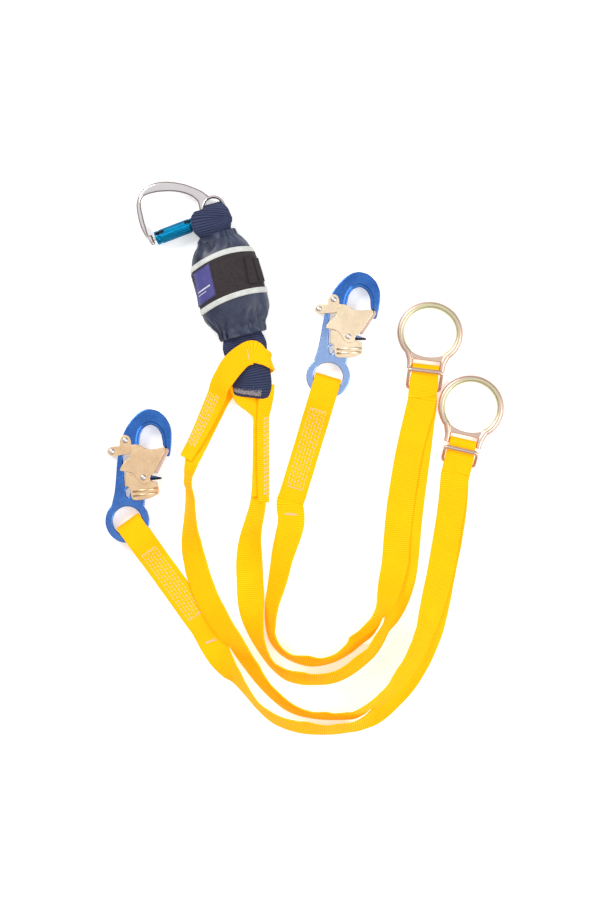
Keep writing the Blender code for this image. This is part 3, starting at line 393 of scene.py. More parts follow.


# the yellow weave's emission is painted light that lifts its shaded sides
YELLOW = woven("yellow_weave", (1.0, 0.50, 0.0), (0.95, 0.32, 0.0), 0.0, painted_glow=0.26)
NAVY = woven("navy_weave", (0.052, 0.066, 0.135), (0.008, 0.010, 0.026), 0.06, 0.8, 2.5 * MM)
COVER = cloth("cover_fabric", (0.044, 0.057, 0.105), (0.012, 0.016, 0.034), 0.55 * MM, 0.42, 0.04)
STRIPE = cloth("reflective_tape", (0.66, 0.67, 0.64), (0.46, 0.47, 0.45), 0.45 * MM, 0.42, 0.0, 60.0, 0.0002)
PILE = cloth("hook_and_loop_pile", (0.042, 0.032, 0.034), (0.014, 0.010, 0.012), 0.8 * MM, 0.88, 0.08, 80.0,
             0.0004)
LABEL = cloth("label_cloth", (0.075, 0.070, 0.27), (0.045, 0.040, 0.17), 0.5 * MM, 0.5, 0.1, 50.0, 0.0002)
PRINT = matte("label_print", (0.70, 0.70, 0.74), (0.58, 0.58, 0.66), 0.6)
THREAD = matte("pale_thread", (0.86, 0.68, 0.58), (0.74, 0.55, 0.42), 0.6, 900.0)
DARK_THREAD = matte("dark_thread", (0.030, 0.026, 0.030), (0.012, 0.010, 0.014), 0.7, 900.0)
FRAY = matte("worn_fibres", (0.60, 0.54, 0.52), (0.22, 0.20, 0.26), 0.9, 700.0)
# the lighter blue mixed in by attribute is a painted reflection
BLUE = metal("blue_anodised", (0.022, 0.110, 0.42), (0.05, 0.19, 0.58), 0.26, (30.0, 30.0, 30.0), 60.0, 0.6,
             0.3, painted_highlight=(0.36, 0.52, 0.84))
# black for painted shade on the hooks' horns and in the sleeve's slots
PAINTED_SHADE_BLACK = metal("painted_shade_black", (0.010, 0.012, 0.022), (0.03, 0.035, 0.06), 0.35)
GOLD = metal("yellow_zinc", (0.72, 0.48, 0.27), (0.84, 0.62, 0.40), 0.36, (60.0, 20.0, 20.0), 70.0, 0.55)
# a lighter copy of the yellow zinc for the right hook: painted highlight
LIT_GOLD = metal("painted_lit_zinc", (0.84, 0.66, 0.44), (0.92, 0.78, 0.58), 0.36, (60.0, 20.0, 20.0), 70.0, 0.55)
# a darker colour for the carabiner's sloping bevels: painted shade
BEVEL_SHADE_BROWN = metal("painted_bevel_shade", (0.34, 0.27, 0.25), (0.46, 0.38, 0.36), 0.30, (30.0, 30.0, 30.0), 80.0, 0.5,
              grain=0.00001)
STEEL = metal("plated_steel", (0.62, 0.58, 0.57), (0.78, 0.72, 0.70), 0.36, grain=0.000006)
# the greenish yellow mixed in by attribute is a painted highlight
RING = metal("ring_zinc", (0.66, 0.47, 0.41), (0.60, 0.47, 0.35), 0.38, (12.0, 12.0, 12.0), 26.0, 0.85,
             grain=0.00001, painted_highlight=(0.62, 0.62, 0.36))
SILVER = metal("polished_aluminium", (0.76, 0.73, 0.74), (0.66, 0.62, 0.63), 0.20, (20.0, 60.0, 20.0), 40.0,
               0.6, grain=0.00001)
CYAN = metal("cyan_anodised", (0.0, 0.12, 0.25), (0.0, 0.22, 0.42), 0.34, (12.0, 90.0, 12.0), 90.0, 0.3, 0.15,
             grain=0.00001)
TEAR = matte("tear_web", (0.70, 0.68, 0.62), (0.55, 0.52, 0.46), 0.85, 500.0)


# ---------------------------------------------------------------- straps

class Strap:
    """A woven strap. Stations are x y z, width direction x y z, width, and optionally how cupped it is."""

    COLUMNS = np.concatenate([[-1.0, -0.97, -0.9], np.linspace(-0.8, 0.8, 9), [0.9, 0.97, 1.0]])

    def __init__(self, stations, thickness, seed, bead, bumps=(), ripple=0.0, rib=0.17 * MM, pitch=RIB_PITCH):
        rows = [list(station) + [0.0] * (8 - len(station)) for station in stations]
        curve = spline(rows, 24)
        run = np.concatenate([[0.0], np.cumsum(np.linalg.norm(np.diff(curve[:, :3], axis=0), axis=1))])
        self.length = run[-1]
        count = int(self.length / STRAP_STEP) + 1
        self.s = np.linspace(0.0, self.length, count)
        dense = np.stack([np.interp(self.s, run, curve[:, k]) for k in range(8)], axis=1)
        self.centre = dense[:, :3]
        self.along = unit(np.gradient(self.centre, axis=0))
        across = dense[:, 3:6]
        self.across = unit(across - self.along * np.sum(self.along * across, axis=1, keepdims=True))
        self.normal = unit(np.cross(self.along, self.across))
        self.half = dense[:, 6] / 2 * (1.0 + 0.012 * wobble(self.s, seed, 90.0))
        self.cup = dense[:, 7]
        self.thickness = thickness
        self.rib = rib * (np.abs(np.sin(math.pi * self.s / pitch)) - 0.6)
        self.bead = bead
        rolling = wobble(self.s, seed + 3, 55.0) + 0.6 * wobble(self.s, seed + 9, 120.0)
        self.swell = ripple * rolling[:, None] * self.near_left(1.6)
        for x, y, height, spread in bumps:
            there = self.near(x, y)
            self.swell += height * np.exp(-((self.s - there) / spread) ** 2)[:, None] * self.near_left(1.5)

    def near_left(self, power):
        """Weight of each column, from 0 at one edge to 1 at the edge the width direction points to."""
        return (((self.COLUMNS + 1.0) / 2.0) ** power)[None, :]

    def near(self, x, y):
        """Distance along the strap of its point nearest to x, y."""
        return self.s[np.argmin((self.centre[:, 0] - x) ** 2 + (self.centre[:, 1] - y) ** 2)]

    def faces_of(self):
        """The strap's two faces as grids of points."""
        u = self.COLUMNS
        middle = self.centre[:, None] + self.across[:, None] * (self.half[:, None, None] * u[None, :, None])
        lift = self.swell - self.cup[:, None] * u[None, :] ** 2
        middle = middle + self.normal[:, None] * lift[..., None]
        edge = 0.28 + 0.72 * np.sqrt(np.clip(1.0 - np.abs(u) ** 12, 0.0, 1.0))
        thick = self.thickness / 2 * edge[None, :] + self.rib[:, None] * (1.0 - 0.5 * np.abs(u[None, :]) ** 8)
        thick = thick + self.bead * np.exp(-((np.abs(u[None, :]) - 0.9) / 0.05) ** 2)
        step = self.normal[:, None] * thick[..., None]
        return middle + step, middle - step

    def at(self, s, u, lift=0.0, side=1.0):
        """A point on the strap's face and the face's normal."""
        i = int(np.clip(round(s / STRAP_STEP), 0, len(self.s) - 1))
        swell = np.interp(u, self.COLUMNS, self.swell[i]) - self.cup[i] * u * u
        rise = swell + side * (self.thickness / 2 + lift)
        point = self.centre[i] + self.across[i] * self.half[i] * u + self.normal[i] * rise
        return point, self.normal[i] * side

    def mesh(self, name):
        top, under = self.faces_of()
        rows = np.concatenate([top, under[:, ::-1]], axis=1)
        rows[..., 2] = np.maximum(rows[..., 2], OFF_FLOOR)
        width = self.COLUMNS[None, :] * self.half[:, None]
        across = np.concatenate([width, width[:, ::-1]], axis=1)
        uv = np.stack([across, np.broadcast_to(self.s[:, None], across.shape)], axis=-1)
        return mesh_from(name, *tube_grid(rows, uv))

    def dashes(self, start, end, columns, pitch=4.4 * MM, length=2.9 * MM, side=1.0):
        """Straight rows of stitches between two distances along the strap."""
        runs = []
        for row, u in enumerate(columns):
            s = start + (row % 3) * 0.9 * MM
            while s + length < end:
                slip = 0.02 * math.sin(s * 900.0 + row * 2.1)
                p, n = self.at(s, u + slip, 0.05 * MM, side)
                q, _ = self.at(s + length, u + slip, 0.05 * MM, side)
                runs.append((p, q, n))
                s += pitch
        return runs

    def tack(self, s, low, high, slant=0.0, rows=2, side=1.0):
        """A dense bar of stitches across the strap."""
        runs = []
        for row in range(rows):
            for k in range(int(abs(high - low) * 14)):
                u = low + (high - low) * k / (abs(high - low) * 14)
                here = s + slant * (u - low) + row * 1.1 * MM
                p, n = self.at(here, u, 0.08 * MM, side)
                q, _ = self.at(here + slant * 0.08, u + 0.075, 0.08 * MM, side)
                runs.append((p, q, n))
        return runs


# share of a stitch's length, share of its width, rise in widths
THREAD_PROFILE = ((0.0, 0.3, -0.5), (0.12, 0.85, 0.1), (0.5, 1.0, 0.5), (0.88, 0.85, 0.1), (1.0, 0.3, -0.5))


def threads(name, runs, material, width=0.42 * MM):
    """Short raised stitches as one mesh on the harness; each run is start, end and normal."""
    a, b, n = (np.array([run[k] for run in runs]) for k in range(3))
    side = np.cross(unit(b - a), n)
    turns = np.arange(6) / 6 * 2 * math.pi
    rings = []
    for t, size, rise in THREAD_PROFILE:
        centre = a + (b - a) * t + n * rise * width
        rings.append(centre[:, None] + size * width * (side[:, None] * np.cos(turns)[None, :, None]
                                                      + n[:, None] * 0.7 * np.sin(turns)[None, :, None]))
    grid = np.stack(rings, axis=1)
    points, faces = [], []
    for k, rows in enumerate(grid):
        p, f, _ = tube_grid(rows)
        points.append(p)
        faces.append(f + k * len(p))
    return bind(link(name, mesh_from(name, np.vstack(points), np.vstack(faces)), material), "harness")


def left_of(points, i):
    """Level direction to the left of a route at its point i."""
    before, after = points[max(i - 1, 0)], points[min(i + 1, len(points) - 1)]
    along = unit(np.array([after[0] - before[0], after[1] - before[1], 0.0]))
    return np.array([-along[1], along[0], 0.0])


def lying(points):
    """Stations of a strap on the ground from x, y, lean, lift and width; its left edge is raised."""
    stations = []
    for i, (x, y, lean, lift, width) in enumerate(points):
        a = math.radians(lean)
        across = left_of(points, i) * math.cos(a) + np.array([0.0, 0.0, math.sin(a)])
        z = width / 2 * math.sin(a) + WEB_T / 2 * math.cos(a) + GAP + lift
        stations.append([x, y, z, *across, width])
    return stations


RING_Z = 5.6 * MM
FOLD_BAR = 40.3 * MM
FOLD_BAR_R = 2.0 * MM
KEEPER_REAR = 62.0 * MM
RINGS = {
    "right": {"centre": (0.2151, -0.0524), "turn": math.radians(-7.0), "keeper": 42.5 * MM},
    "left": {"centre": (0.2589, -0.1327), "turn": math.radians(-13.0), "keeper": 47.5 * MM},
}
HOOK_Z = 10.6 * MM
HOOKS = {
    "left": {"eye": (-0.1081, -0.2547), "turn": 0.0, "strap": (0.58, -0.81)},
    "right": {"eye": (0.1059, -0.1027), "turn": math.radians(-5.5), "strap": (-0.29, -0.957)},
}
SEWN = 128 * MM


def ring_place(side, distance, z, aside=0.0, width=None):
    spec = RINGS[side]
    width = width or (30.4 * MM if distance > 50 * MM else WEB)
    turn = spec["turn"]
    x = spec["centre"][0] + math.sin(turn) * distance + math.cos(turn) * aside
    y = spec["centre"][1] - math.cos(turn) * distance + math.sin(turn) * aside
    return [x, y, z, -math.cos(turn), -math.sin(turn), 0.0, width]


def ring_fold(side):
    """The upper strand over the keeper's rear bar and round the fold bar."""
    keeper = RINGS[side]["keeper"]
    reach = FOLD_BAR_R * math.sqrt(2.0) + GAP + WEB_T / 2
    stations = [ring_place(side, 78 * MM, 4.6 * MM), ring_place(side, 70 * MM, 6.0 * MM),
                ring_place(side, KEEPER_REAR, 6.9 * MM),
                ring_place(side, (keeper + KEEPER_REAR) / 2, 7.6 * MM),
                ring_place(side, FOLD_BAR + 6 * MM, 8.6 * MM)]
    for angle in (90, 135, 180, 225, 262):
        a = math.radians(angle)
        stations.append(ring_place(side, FOLD_BAR + reach * math.cos(a), RING_Z + reach * math.sin(a)))
    return stations


def ring_under(side):
    """The lower strand, over the keeper's rear bar and down to its end below the fold bar."""
    aside = 3.4 * MM if side == "right" else 2.0 * MM
    return [ring_place(side, 78 * MM, 1.9 * MM, aside, 0.0265),
            ring_place(side, 70 * MM, 3.6 * MM, aside * 0.8, 0.026),
            ring_place(side, KEEPER_REAR, 4.6 * MM, aside * 0.6, 0.026), ring_place(side, 54 * MM, 3.4 * MM),
            ring_place(side, 47 * MM, 1.6 * MM), ring_place(side, FOLD_BAR + 1.3 * MM, 1.3 * MM)]


def hook_stations(side, profile):
    spec = HOOKS[side]
    along = unit(np.array([*spec["strap"], 0.0]))
    stations = []
    for distance, z in profile:
        stations.append([spec["eye"][0] + along[0] * distance, spec["eye"][1] + along[1] * distance, z * MM,
                         -along[1], along[0], 0.0, WEB])
    return stations


def hook_arc(angles, at=9.6 * MM):
    """Distance in metres and height in millimetres of a strap's turn round the hook's eye."""
    turns = [math.radians(angle) for angle in angles]
    return [(at + 8.2 * MM * math.cos(a), 9.6 + 8.2 * math.sin(a)) for a in turns]


def hook_over(side):
    """Through the hook's eye from beneath and back on top."""
    fold = hook_arc((240, 200, 160, 120), 6.4 * MM if side == "right" else 8.6 * MM)
    return hook_stations(side, fold + [
        (12 * MM, 17.6), (25 * MM, 17.2), (36 * MM, 13.6), (52 * MM, 6.6), (66 * MM, 4.0), (100 * MM, 3.8),
        (SEWN + 1 * MM, 3.8), (SEWN + 12 * MM, 2.4)])


def hook_tail(side):
    return hook_stations(side, [(SEWN, 1.4), (100 * MM, 1.4), (60 * MM, 1.4), (30 * MM, 1.4), (12 * MM, 1.4),
                                hook_arc((240,))[0]])


# Leg routes: x, y, lean, lift, width. They were not all chosen by hand: the places were picked on the
# photo and scaled by a scratch script, and a scratch search then moved stations near the crossings.
# Stations near the splices and the rings differ from part.py's, by up to 6 mm.
LEFT_PACK_WEB = [
    (-0.0322, -0.1723, 6, 0, 0.018), (-0.0366, -0.1830, 12, 0, 0.018),
    (-0.0400, -0.1937, 24, 0, 0.0155), (-0.0420, -0.2044, 58, 0, 0.0185),
    (-0.0428, -0.2161, 76, 0, WEB), (-0.0412, -0.2322, 70, 0, WEB),
    (-0.0412, -0.2536, 62, 0, WEB), (-0.0396, -0.2803, 40, 0, WEB),
    (-0.0364, -0.2964, 32, 0.002, WEB), (-0.0321, -0.3124, 27, 0.0052, WEB),
    (-0.023, -0.3371, 27, 0.0054, WEB), (-0.0086, -0.3628, 35.4, 0.0055, WEB),
    (0.0075, -0.3846, 55.2, 0.0086, WEB), (0.0214, -0.4066, 60.1, 0.0015, WEB),
    (0.0407, -0.4323, 66, 0, WEB), (0.0642, -0.4526, 68, 0, WEB),
    (0.0888, -0.4617, 74, 0, WEB), (0.1166, -0.4633, 74, 0, WEB),
    (0.1335, -0.4603, 72.5, 0.0087, WEB), (0.1496, -0.4521, 78.2, 0.0151, WEB),
    (0.1656, -0.4419, 61.7, 0.0114, WEB), (0.1808, -0.4253, 57, 0.009, WEB),
    (0.1969, -0.4012, 50, 0.0072, WEB), (0.2087, -0.3734, 42, 0.0052, WEB),
    (0.2177, -0.3435, 24, 0.0034, WEB), (0.2258, -0.3103, 6, 0.0028, WEB),
    (0.2322, -0.275, 0, 0.0025, WEB), (0.2375, -0.2407, 0, 0.0025, WEB),
]
LEFT_HOOK_WEB = [
    (-0.0167, -0.3878, 0, 0, 0.0278), (-0.0029, -0.4091, 38.2, 0, 0.0279),
    (0.0075, -0.4216, 64, 0, WEB), (0.0198, -0.4376, 74, 0, WEB),
    (0.0321, -0.4526, 76, 0, WEB), (0.0503, -0.4665, 68, 0, WEB),
    (0.076, -0.4751, 64, 0, WEB), (0.1049, -0.4778, 68, 0, WEB),
    (0.1284, -0.4755, 68.6, 0, WEB), (0.1446, -0.4701, 56.4, 0, 0.0241),
    (0.1598, -0.4608, 34.5, 0, 0.0219), (0.1745, -0.4462, 24.2, 0, 0.0222),
    (0.1894, -0.428, 20, 0, 0.024), (0.2033, -0.4034, 18, 0, 0.026),
    (0.2142, -0.3745, 16, 0, WEB), (0.2220, -0.3435, 12, 0, WEB),
    (0.2280, -0.3103, 4, 0, WEB), (0.2352, -0.275, 0, 0, WEB),
    (0.2402, -0.2407, 0, 0, WEB),
]
RIGHT_PACK_WEB = [
    (0.0322, -0.2040, 10, 0, 0.0150), (0.0320, -0.2210, 18, 0, 0.0160),
    (0.0306, -0.2386, 32, 0, 0.0200), (0.0267, -0.2557, 44, 0, 0.0270),
    (0.023, -0.275, 34, 0, WEB), (0.0219, -0.2964, 14, 0, WEB),
    (0.0225, -0.3178, 2, 0, WEB), (0.0235, -0.3392, 8, 0, WEB),
    (0.0262, -0.3606, 38, 0, WEB), (0.0321, -0.3831, 64, 0, WEB),
    (0.0407, -0.4002, 74, 0, WEB), (0.0492, -0.4103, 74, 0, WEB),
    (0.0621, -0.4189, 66, 0, WEB), (0.076, -0.4226, 62, 0, WEB),
    (0.092, -0.4237, 63, 0, WEB), (0.1113, -0.4216, 63, 0, WEB),
    (0.1295, -0.413, 63, 0, WEB), (0.1498, -0.397, 66, 0, WEB),
    (0.1603, -0.3831, 68.3, 0, WEB), (0.168, -0.3691, 67.7, 0, 0.024),
    (0.1750, -0.3547, 40, 0, 0.0230), (0.1805, -0.339, 22, 0, 0.0250),
    (0.1848, -0.3221, 10, 0, 0.0270), (0.1878, -0.3028, 3, 0, WEB),
    (0.1905, -0.275, 0, 0, WEB), (0.1935, -0.2429, 0, 0, WEB),
    (0.1977, -0.2108, 0, 0, WEB), (0.2022, -0.1765, 0, 0, WEB),
]
RIGHT_HOOK_WEB = [
    (0.0663, -0.2579, 8, 0, WEB), (0.0578, -0.291, 34, 0, WEB),
    (0.0503, -0.3263, 50, 0, WEB), (0.0455, -0.3456, 62, 0, WEB),
    (0.0439, -0.3627, 70, 0, WEB), (0.0465, -0.3799, 75, 0, WEB),
    (0.0556, -0.3927, 76, 0, WEB), (0.0674, -0.4007, 76, 0, WEB),
    (0.0845, -0.4045, 68, 0, WEB), (0.0984, -0.405, 73, 0, WEB),
    (0.1134, -0.4007, 73, 0, WEB), (0.1252, -0.3932, 70, 0, WEB),
    (0.1359, -0.3836, 64, 0, WEB), (0.1478, -0.3714, 61.8, 0.0102, WEB),
    (0.1589, -0.3552, 66.6, 0.0168, WEB), (0.1669, -0.339, 42.5, 0.0142, WEB),
    (0.1728, -0.3199, 22, 0.0066, WEB), (0.1776, -0.2985, 6, 0.004, WEB),
    (0.1797, -0.2728, 0, 0.0025, WEB), (0.1830, -0.2407, 0, 0.0025, WEB),
    (0.1882, -0.2065, 0, 0.0025, WEB), (0.1942, -0.1744, 0, 0.0025, WEB),
]


# dents: x, y and depth in millimetres, spread in metres
BUMPS = {
    "right_leg_hook": [(50, -361, 1.8, 0.013), (86, -398, 1.6, 0.014), (130, -378, 1.8, 0.012)],
    "right_leg_pack": [(73, -413, 1.4, 0.014), (138, -401, 1.8, 0.012), (156, -376, 1.6, 0.012)],
    "left_leg_pack": [(15, -382, 1.6, 0.014), (31, -408, 1.6, 0.013), (100, -457, 1.8, 0.012),
                      (151, -446, 2.0, 0.013), (180, -416, 1.5, 0.014)],
    "left_leg_hook": [(15, -416, 1.6, 0.012), (83, -468, 1.8, 0.013), (120, -467, 1.6, 0.012)],
}


def build_legs():
    """The four leg strands, each a strap bound to the harness."""
    routes = {
        "left_leg_pack": lying(LEFT_PACK_WEB) + ring_fold("left"),
        "left_leg_hook": hook_over("left") + lying(LEFT_HOOK_WEB) + ring_under("left"),
        "right_leg_hook": hook_over("right") + lying(RIGHT_HOOK_WEB) + ring_fold("right"),
        "right_leg_pack": lying(RIGHT_PACK_WEB) + ring_under("right"),
    }
    straps = {}
    for number, (name, stations) in enumerate(routes.items()):
        dents = [(x * MM, y * MM, -depth * MM, spread) for x, y, depth, spread in BUMPS[name]]
        strap = Strap(stations, WEB_T, number * 11 + 2, BEAD, dents, ripple=0.9 * MM)
        straps[name] = strap
        piece = link(name + "_strap", strap.mesh(name), YELLOW)
        tail = []
        if name.endswith("hook"):
            side = name.split("_")[0]
            under = Strap(hook_tail(side), WEB_T, number + 40, BEAD)
            tail = [link(side + "_hook_tail", under.mesh(side + "_tail"), YELLOW)]
            bind(tail[0], "harness", name + "_web")
        bind(piece, "harness", name + "_web")
    return straps


def stitch_legs(straps):
    """Rows of stitches and a bar tack where each leg is sewn back on itself behind its hook."""
    for side, first, last, bar_at in (("left", 39, 125, 155), ("right", 35, 122, 150)):
        strap = straps[side + "_leg_hook"]
        eye, along = HOOKS[side]["eye"], unit(np.array(HOOKS[side]["strap"]))

        def reach(distance):
            return strap.near(eye[0] + along[0] * distance * MM, eye[1] + along[1] * distance * MM)
        runs = strap.dashes(reach(first), reach(last), (-0.62, -0.38, -0.14, 0.10, 0.34, 0.58))
        for k in (first, last):
            runs += strap.tack(reach(k), -0.62, 0.6, rows=1)
        threads(side + "_hook_stitching", runs, THREAD)
        tack = strap.tack(reach(bar_at), -0.45, 0.45, slant=2.5 * MM)
        threads(side + "_bar_tack", tack, THREAD, 0.5 * MM)


# x, y, height in millimetres, width direction
LEFT_EYE = [
    (-0.0322, -0.1760, 3.4, -0.86, 0.51, 0), (-0.0190, -0.148, 1.8, -0.88, 0.47, 0),
    (-0.0045, -0.118, 1.3, -0.88, 0.47, 0), (0.010, -0.106, 1.4, -0.72, 0.69, 0),
    (0.030, -0.096, 1.5, -0.30, 0.95, 0), (0.0405, -0.0900, 3.0, -0.34, 0.94, 0),
    (0.0452, -0.0874, 9.0, -0.35, 0.94, 0), (0.0458, -0.0868, 15.0, -0.35, 0.94, 0),
    (0.0448, -0.0860, 22.0, -0.30, 0.95, 0), (0.0405, -0.0818, 25.8, -0.12, 0.99, 0.0),
    (0.0350, -0.0790, 26.4, 0.0, 1.0, 0), (0.0256, -0.0752, 26.6, 0.0, 1.0, 0),
    (0.0140, -0.0800, 26.6, -0.14, 0.99, 0), (0.0040, -0.0895, 25.4, -0.34, 0.94, -0.05),
    (-0.0042, -0.1012, 22.4, -0.62, 0.76, -0.25),
    (-0.0098, -0.1110, 17.5, -0.80, 0.48, -0.36), (-0.0128, -0.1210, 12.4, -0.86, 0.45, -0.25),
    (-0.0184, -0.1335, 8.6, -0.89, 0.44, -0.10), (-0.0250, -0.1480, 7.4, -0.89, 0.44, 0),
    (-0.0345, -0.1670, 7.0, -0.89, 0.44, 0), (-0.0460, -0.1878, 6.6, -0.89, 0.44, 0),
]
LEFT_EYE_WIDTHS = [16, 17, 20, 24, 20, 17, 16, 16, 16, 16.5, 18.5, 25.5, 24, 25, 24.5, 23, 21.5, 20, 18.5, 16,
                   13.5]
# two halves of the right leg's folded eye: x, y, z, lean, visible width
RIGHT_EYE_LEFT = [
    (0.0130, -0.1080, 11.0, 14, 0.0270), (0.0180, -0.1205, 10.5, 16, 0.0270),
    (0.0262, -0.1322, 9.5, 16, 0.0190), (0.0305, -0.1430, 7.6, 14, 0.0105),
    (0.0306, -0.1600, 6.6, 10, 0.0095), (0.0302, -0.1900, 6.4, 10, 0.0095),
    (0.0298, -0.2150, 6.4, 10, 0.0100), (0.0296, -0.2290, 6.0, 10, 0.0100),
]
RIGHT_EYE_RIGHT = [
    (0.0400, -0.1090, 13.5, -10, 0.0180), (0.0398, -0.1200, 13.0, -10, 0.0170),
    (0.0382, -0.1330, 12.0, -8, 0.0150), (0.0368, -0.1430, 10.6, -6, 0.0132),
    (0.0364, -0.1600, 10.2, -4, 0.0132), (0.0366, -0.1900, 10.0, -4, 0.0132),
    (0.0370, -0.2150, 9.8, -4, 0.0128), (0.0372, -0.2350, 9.2, -4, 0.0118),
]


def leaning(points):
    """Stations of a strap that faces up, from x, y, height in millimetres, lean and width."""
    stations = []
    for i, (x, y, z, lean, width) in enumerate(points):
        a = math.radians(lean)
        across = -left_of(points, i) * math.cos(a) + np.array([0.0, 0.0, math.sin(a)])
        stations.append([x, y, z * MM, *across, width])
    return stations


def build_eye_webs():
    """The left leg's sewn eye round the lower loop, and the two halves of the right leg's folded one."""
    stations = [(x, y, z * MM, a, b, c, width * MM)
                for (x, y, z, a, b, c), width in zip(LEFT_EYE, LEFT_EYE_WIDTHS)]
    eye = Strap(stations, WEB_T, 70, BEAD)
    bind(link("left_eye_strap", eye.mesh("left_eye"), YELLOW), "harness", "left_leg_eye_web")
    rows = (0.75, 0.5, 0.25, 0.0, -0.25)
    runs = eye.dashes(eye.length - 76 * MM, eye.length - 12 * MM, rows, side=-1.0)
    runs += eye.tack(eye.near(0.0195, -0.0765), -0.5, 0.4, slant=-2.5 * MM, rows=1, side=-1.0)
    threads("left_eye_stitching", runs, THREAD)
    for name, points, seed in (("left", RIGHT_EYE_LEFT, 81), ("right", RIGHT_EYE_RIGHT, 83)):
        half = Strap(leaning(points), 2.6 * MM, seed, 0.1 * MM, rib=0.14 * MM)
        piece = link("right_eye_" + name + "_half", half.mesh(name + "_half"), YELLOW)
        bind(piece, "harness", "right_leg_eye_web")
    side = 1.0 if half.normal[len(half.s) // 2][2] > 0 else -1.0
    runs = half.dashes(34 * MM, half.length - 5 * MM, (-0.8, -0.5, -0.2), side=side)
    threads("right_eye_stitching", runs, THREAD)


# ---------------------------------------------------------------- pack

PACK = Matrix.Rotation(math.radians(15.0), 4, "Z")
COVER_FOOT, COVER_HEAD = -0.059, 0.054
COVER_SIDES = 252
# distance along the pack, half width, top height and underside height
COVER_SECTIONS = [
    (-0.059, 0.0240, 0.0275, 0.0030), (-0.050, 0.0275, 0.0300, 0.0020), (-0.042, 0.0315, 0.0335, 0.0010),
    (-0.033, 0.0355, 0.0370, 0.0000), (-0.020, 0.0368, 0.0390, 0.0000), (0.000, 0.0370, 0.0400, 0.0000),
    (0.020, 0.0350, 0.0390, 0.0000), (0.034, 0.0315, 0.0365, 0.0000), (0.042, 0.0270, 0.0330, 0.0010),
    (0.049, 0.0225, 0.0290, 0.0020), (0.054, 0.0205, 0.0255, 0.0035),
]
SECTION_CURVE = spline(COVER_SECTIONS, 12)


def cover_at(y, angle, offset=0.0, creased=True):
    """Points on the pack's outside in the pack's own frame, for arrays of y and angle."""
    y, angle = np.broadcast_arrays(np.asarray(y, float), np.asarray(angle, float))
    half, height, under = (np.interp(y, SECTION_CURVE[:, 0], SECTION_CURVE[:, k]) for k in (1, 2, 3))
    cos, sin = np.cos(angle), np.sin(angle)
    if creased:
        top = np.clip((y - 0.0335) / 0.016, 0.0, 1.0)
        low = np.clip((-0.030 - y) / 0.020, 0.0, 1.0)
        bent = angle + 0.22 * np.sin(2 * angle + 90 * y) + 0.1 * np.sin(5 * angle)
        lobes = (np.abs(np.sin(7.5 * bent + 0.6)) - 0.62) * 2.9 * MM * top ** 1.1
        lobes += (np.abs(np.sin(7.0 * bent + 1.9)) - 0.62) * 4.2 * MM * low ** 1.1
        lobes += np.sin(17 * bent + 2.0) * 0.35 * MM * (top + low)
        pull = np.exp(-((y - 0.0475) / 0.0035) ** 2) * 1.1 + np.exp(-((y + 0.0505) / 0.0040) ** 2) * 1.8
        sag = np.sin(y * 150 + 3 * np.sin(angle * 2)) + np.sin(angle * 4 + y * 90)
        offset = offset + lobes + 0.3 * MM * sag - pull * MM
        y = y - 4.0 * MM * np.clip((y - 0.030) / 0.024, 0.0, 1.0) * np.clip((0.1 - cos) / 1.1, 0.0, 1.0)
    x = (half + offset) * np.sign(cos) * np.abs(cos) ** 0.75
    middle = under + 0.42 * (height - under)
    rise = np.where(sin > 0, height - middle, 0.58 * (height - under)) + offset
    z = middle + rise * np.sign(sin) * np.abs(sin) ** 0.85
    return np.stack([x, y, np.maximum(z, under + OFF_FLOOR)], axis=-1)


def angle_of(x, y):
    """Angle round the cover of the top point above x, y."""
    half = np.interp(y, SECTION_CURVE[:, 0], SECTION_CURVE[:, 1])
    share = np.clip(np.abs(x) / half, 0.0, 0.998)
    return np.arccos(np.sign(x) * share ** (1 / 0.75))


def onto(x, y, lift):
    x, y = np.broadcast_arrays(np.asarray(x, float), np.asarray(y, float))
    return cover_at(y, angle_of(x, y), lift)


def build_cover():
    """The cover as one closed skin: outside, rolled top mouth, lining, rolled lower mouth."""
    turns = np.arange(COVER_SIDES) / COVER_SIDES * 2 * math.pi

    def lip(y, inset):
        nearest = min(max(y, COVER_FOOT), COVER_HEAD)
        return cover_at(np.full(COVER_SIDES, nearest), turns, -inset * MM)[None] + [0, y - nearest, 0]
    ys = np.linspace(COVER_FOOT, COVER_HEAD, 150)
    rows = [cover_at(ys[:, None], turns[None, :])]
    rows += [lip(y, inset) for y, inset in ((0.0545, 0.9), (0.0545, 2.0), (0.0530, 2.5))]
    inner_ys = np.linspace(0.051, -0.056, 30)
    rows.append(cover_at(inner_ys[:, None], turns[None, :], -2.5 * MM, False) + [0, 0, 0.6 * MM])
    rows += [lip(y, inset) for y, inset in ((-0.0580, 2.5), (-0.0595, 2.0), (-0.0595, 0.9))]
    points, faces, _ = tube_grid(np.concatenate(rows), closed=True)
    piece = link("cover_shell", mesh_from("cover", points, faces), COVER, PACK)
    bind(piece, "harness", "pack_cover")


def patch(x, y, lift, thickness):
    """Closed patch lying on the cover; x and y are grids of its outline."""
    rows = []
    count = x.shape[0]
    for i in range(count):
        edge_row = 0.25 if i in (0, count - 1) else 1.0
        columns = np.arange(x.shape[1])
        fade = np.where((columns == 0) | (columns == x.shape[1] - 1), 0.25, 1.0)
        top = onto(x[i], y[i], lift + thickness * np.minimum(edge_row, fade))
        under = onto(x[i], y[i], lift)
        rows.append(np.concatenate([top, under[::-1]]))
    points, faces, _ = tube_grid(np.array(rows))
    return mesh_from("patch", points, faces)


def edged(count):
    """Shares from 0 to 1 with an extra one close to each end, so that a patch keeps a crisp edge."""
    return np.concatenate([[0, 0.008], np.linspace(0, 1, count)[1:-1], [0.992, 1]])


def quad_grid(corners, columns, rows):
    """x and y grids over a four-sided patch: top left, top right, bottom right, bottom left."""
    a, b, c, d = (np.array(corner) for corner in corners)
    u = edged(columns)[None, :, None]
    v = edged(rows)[:, None, None]
    grid = (a * (1 - u) + b * u) * (1 - v) + (d * (1 - u) + c * u) * v
    return grid[..., 0], grid[..., 1]


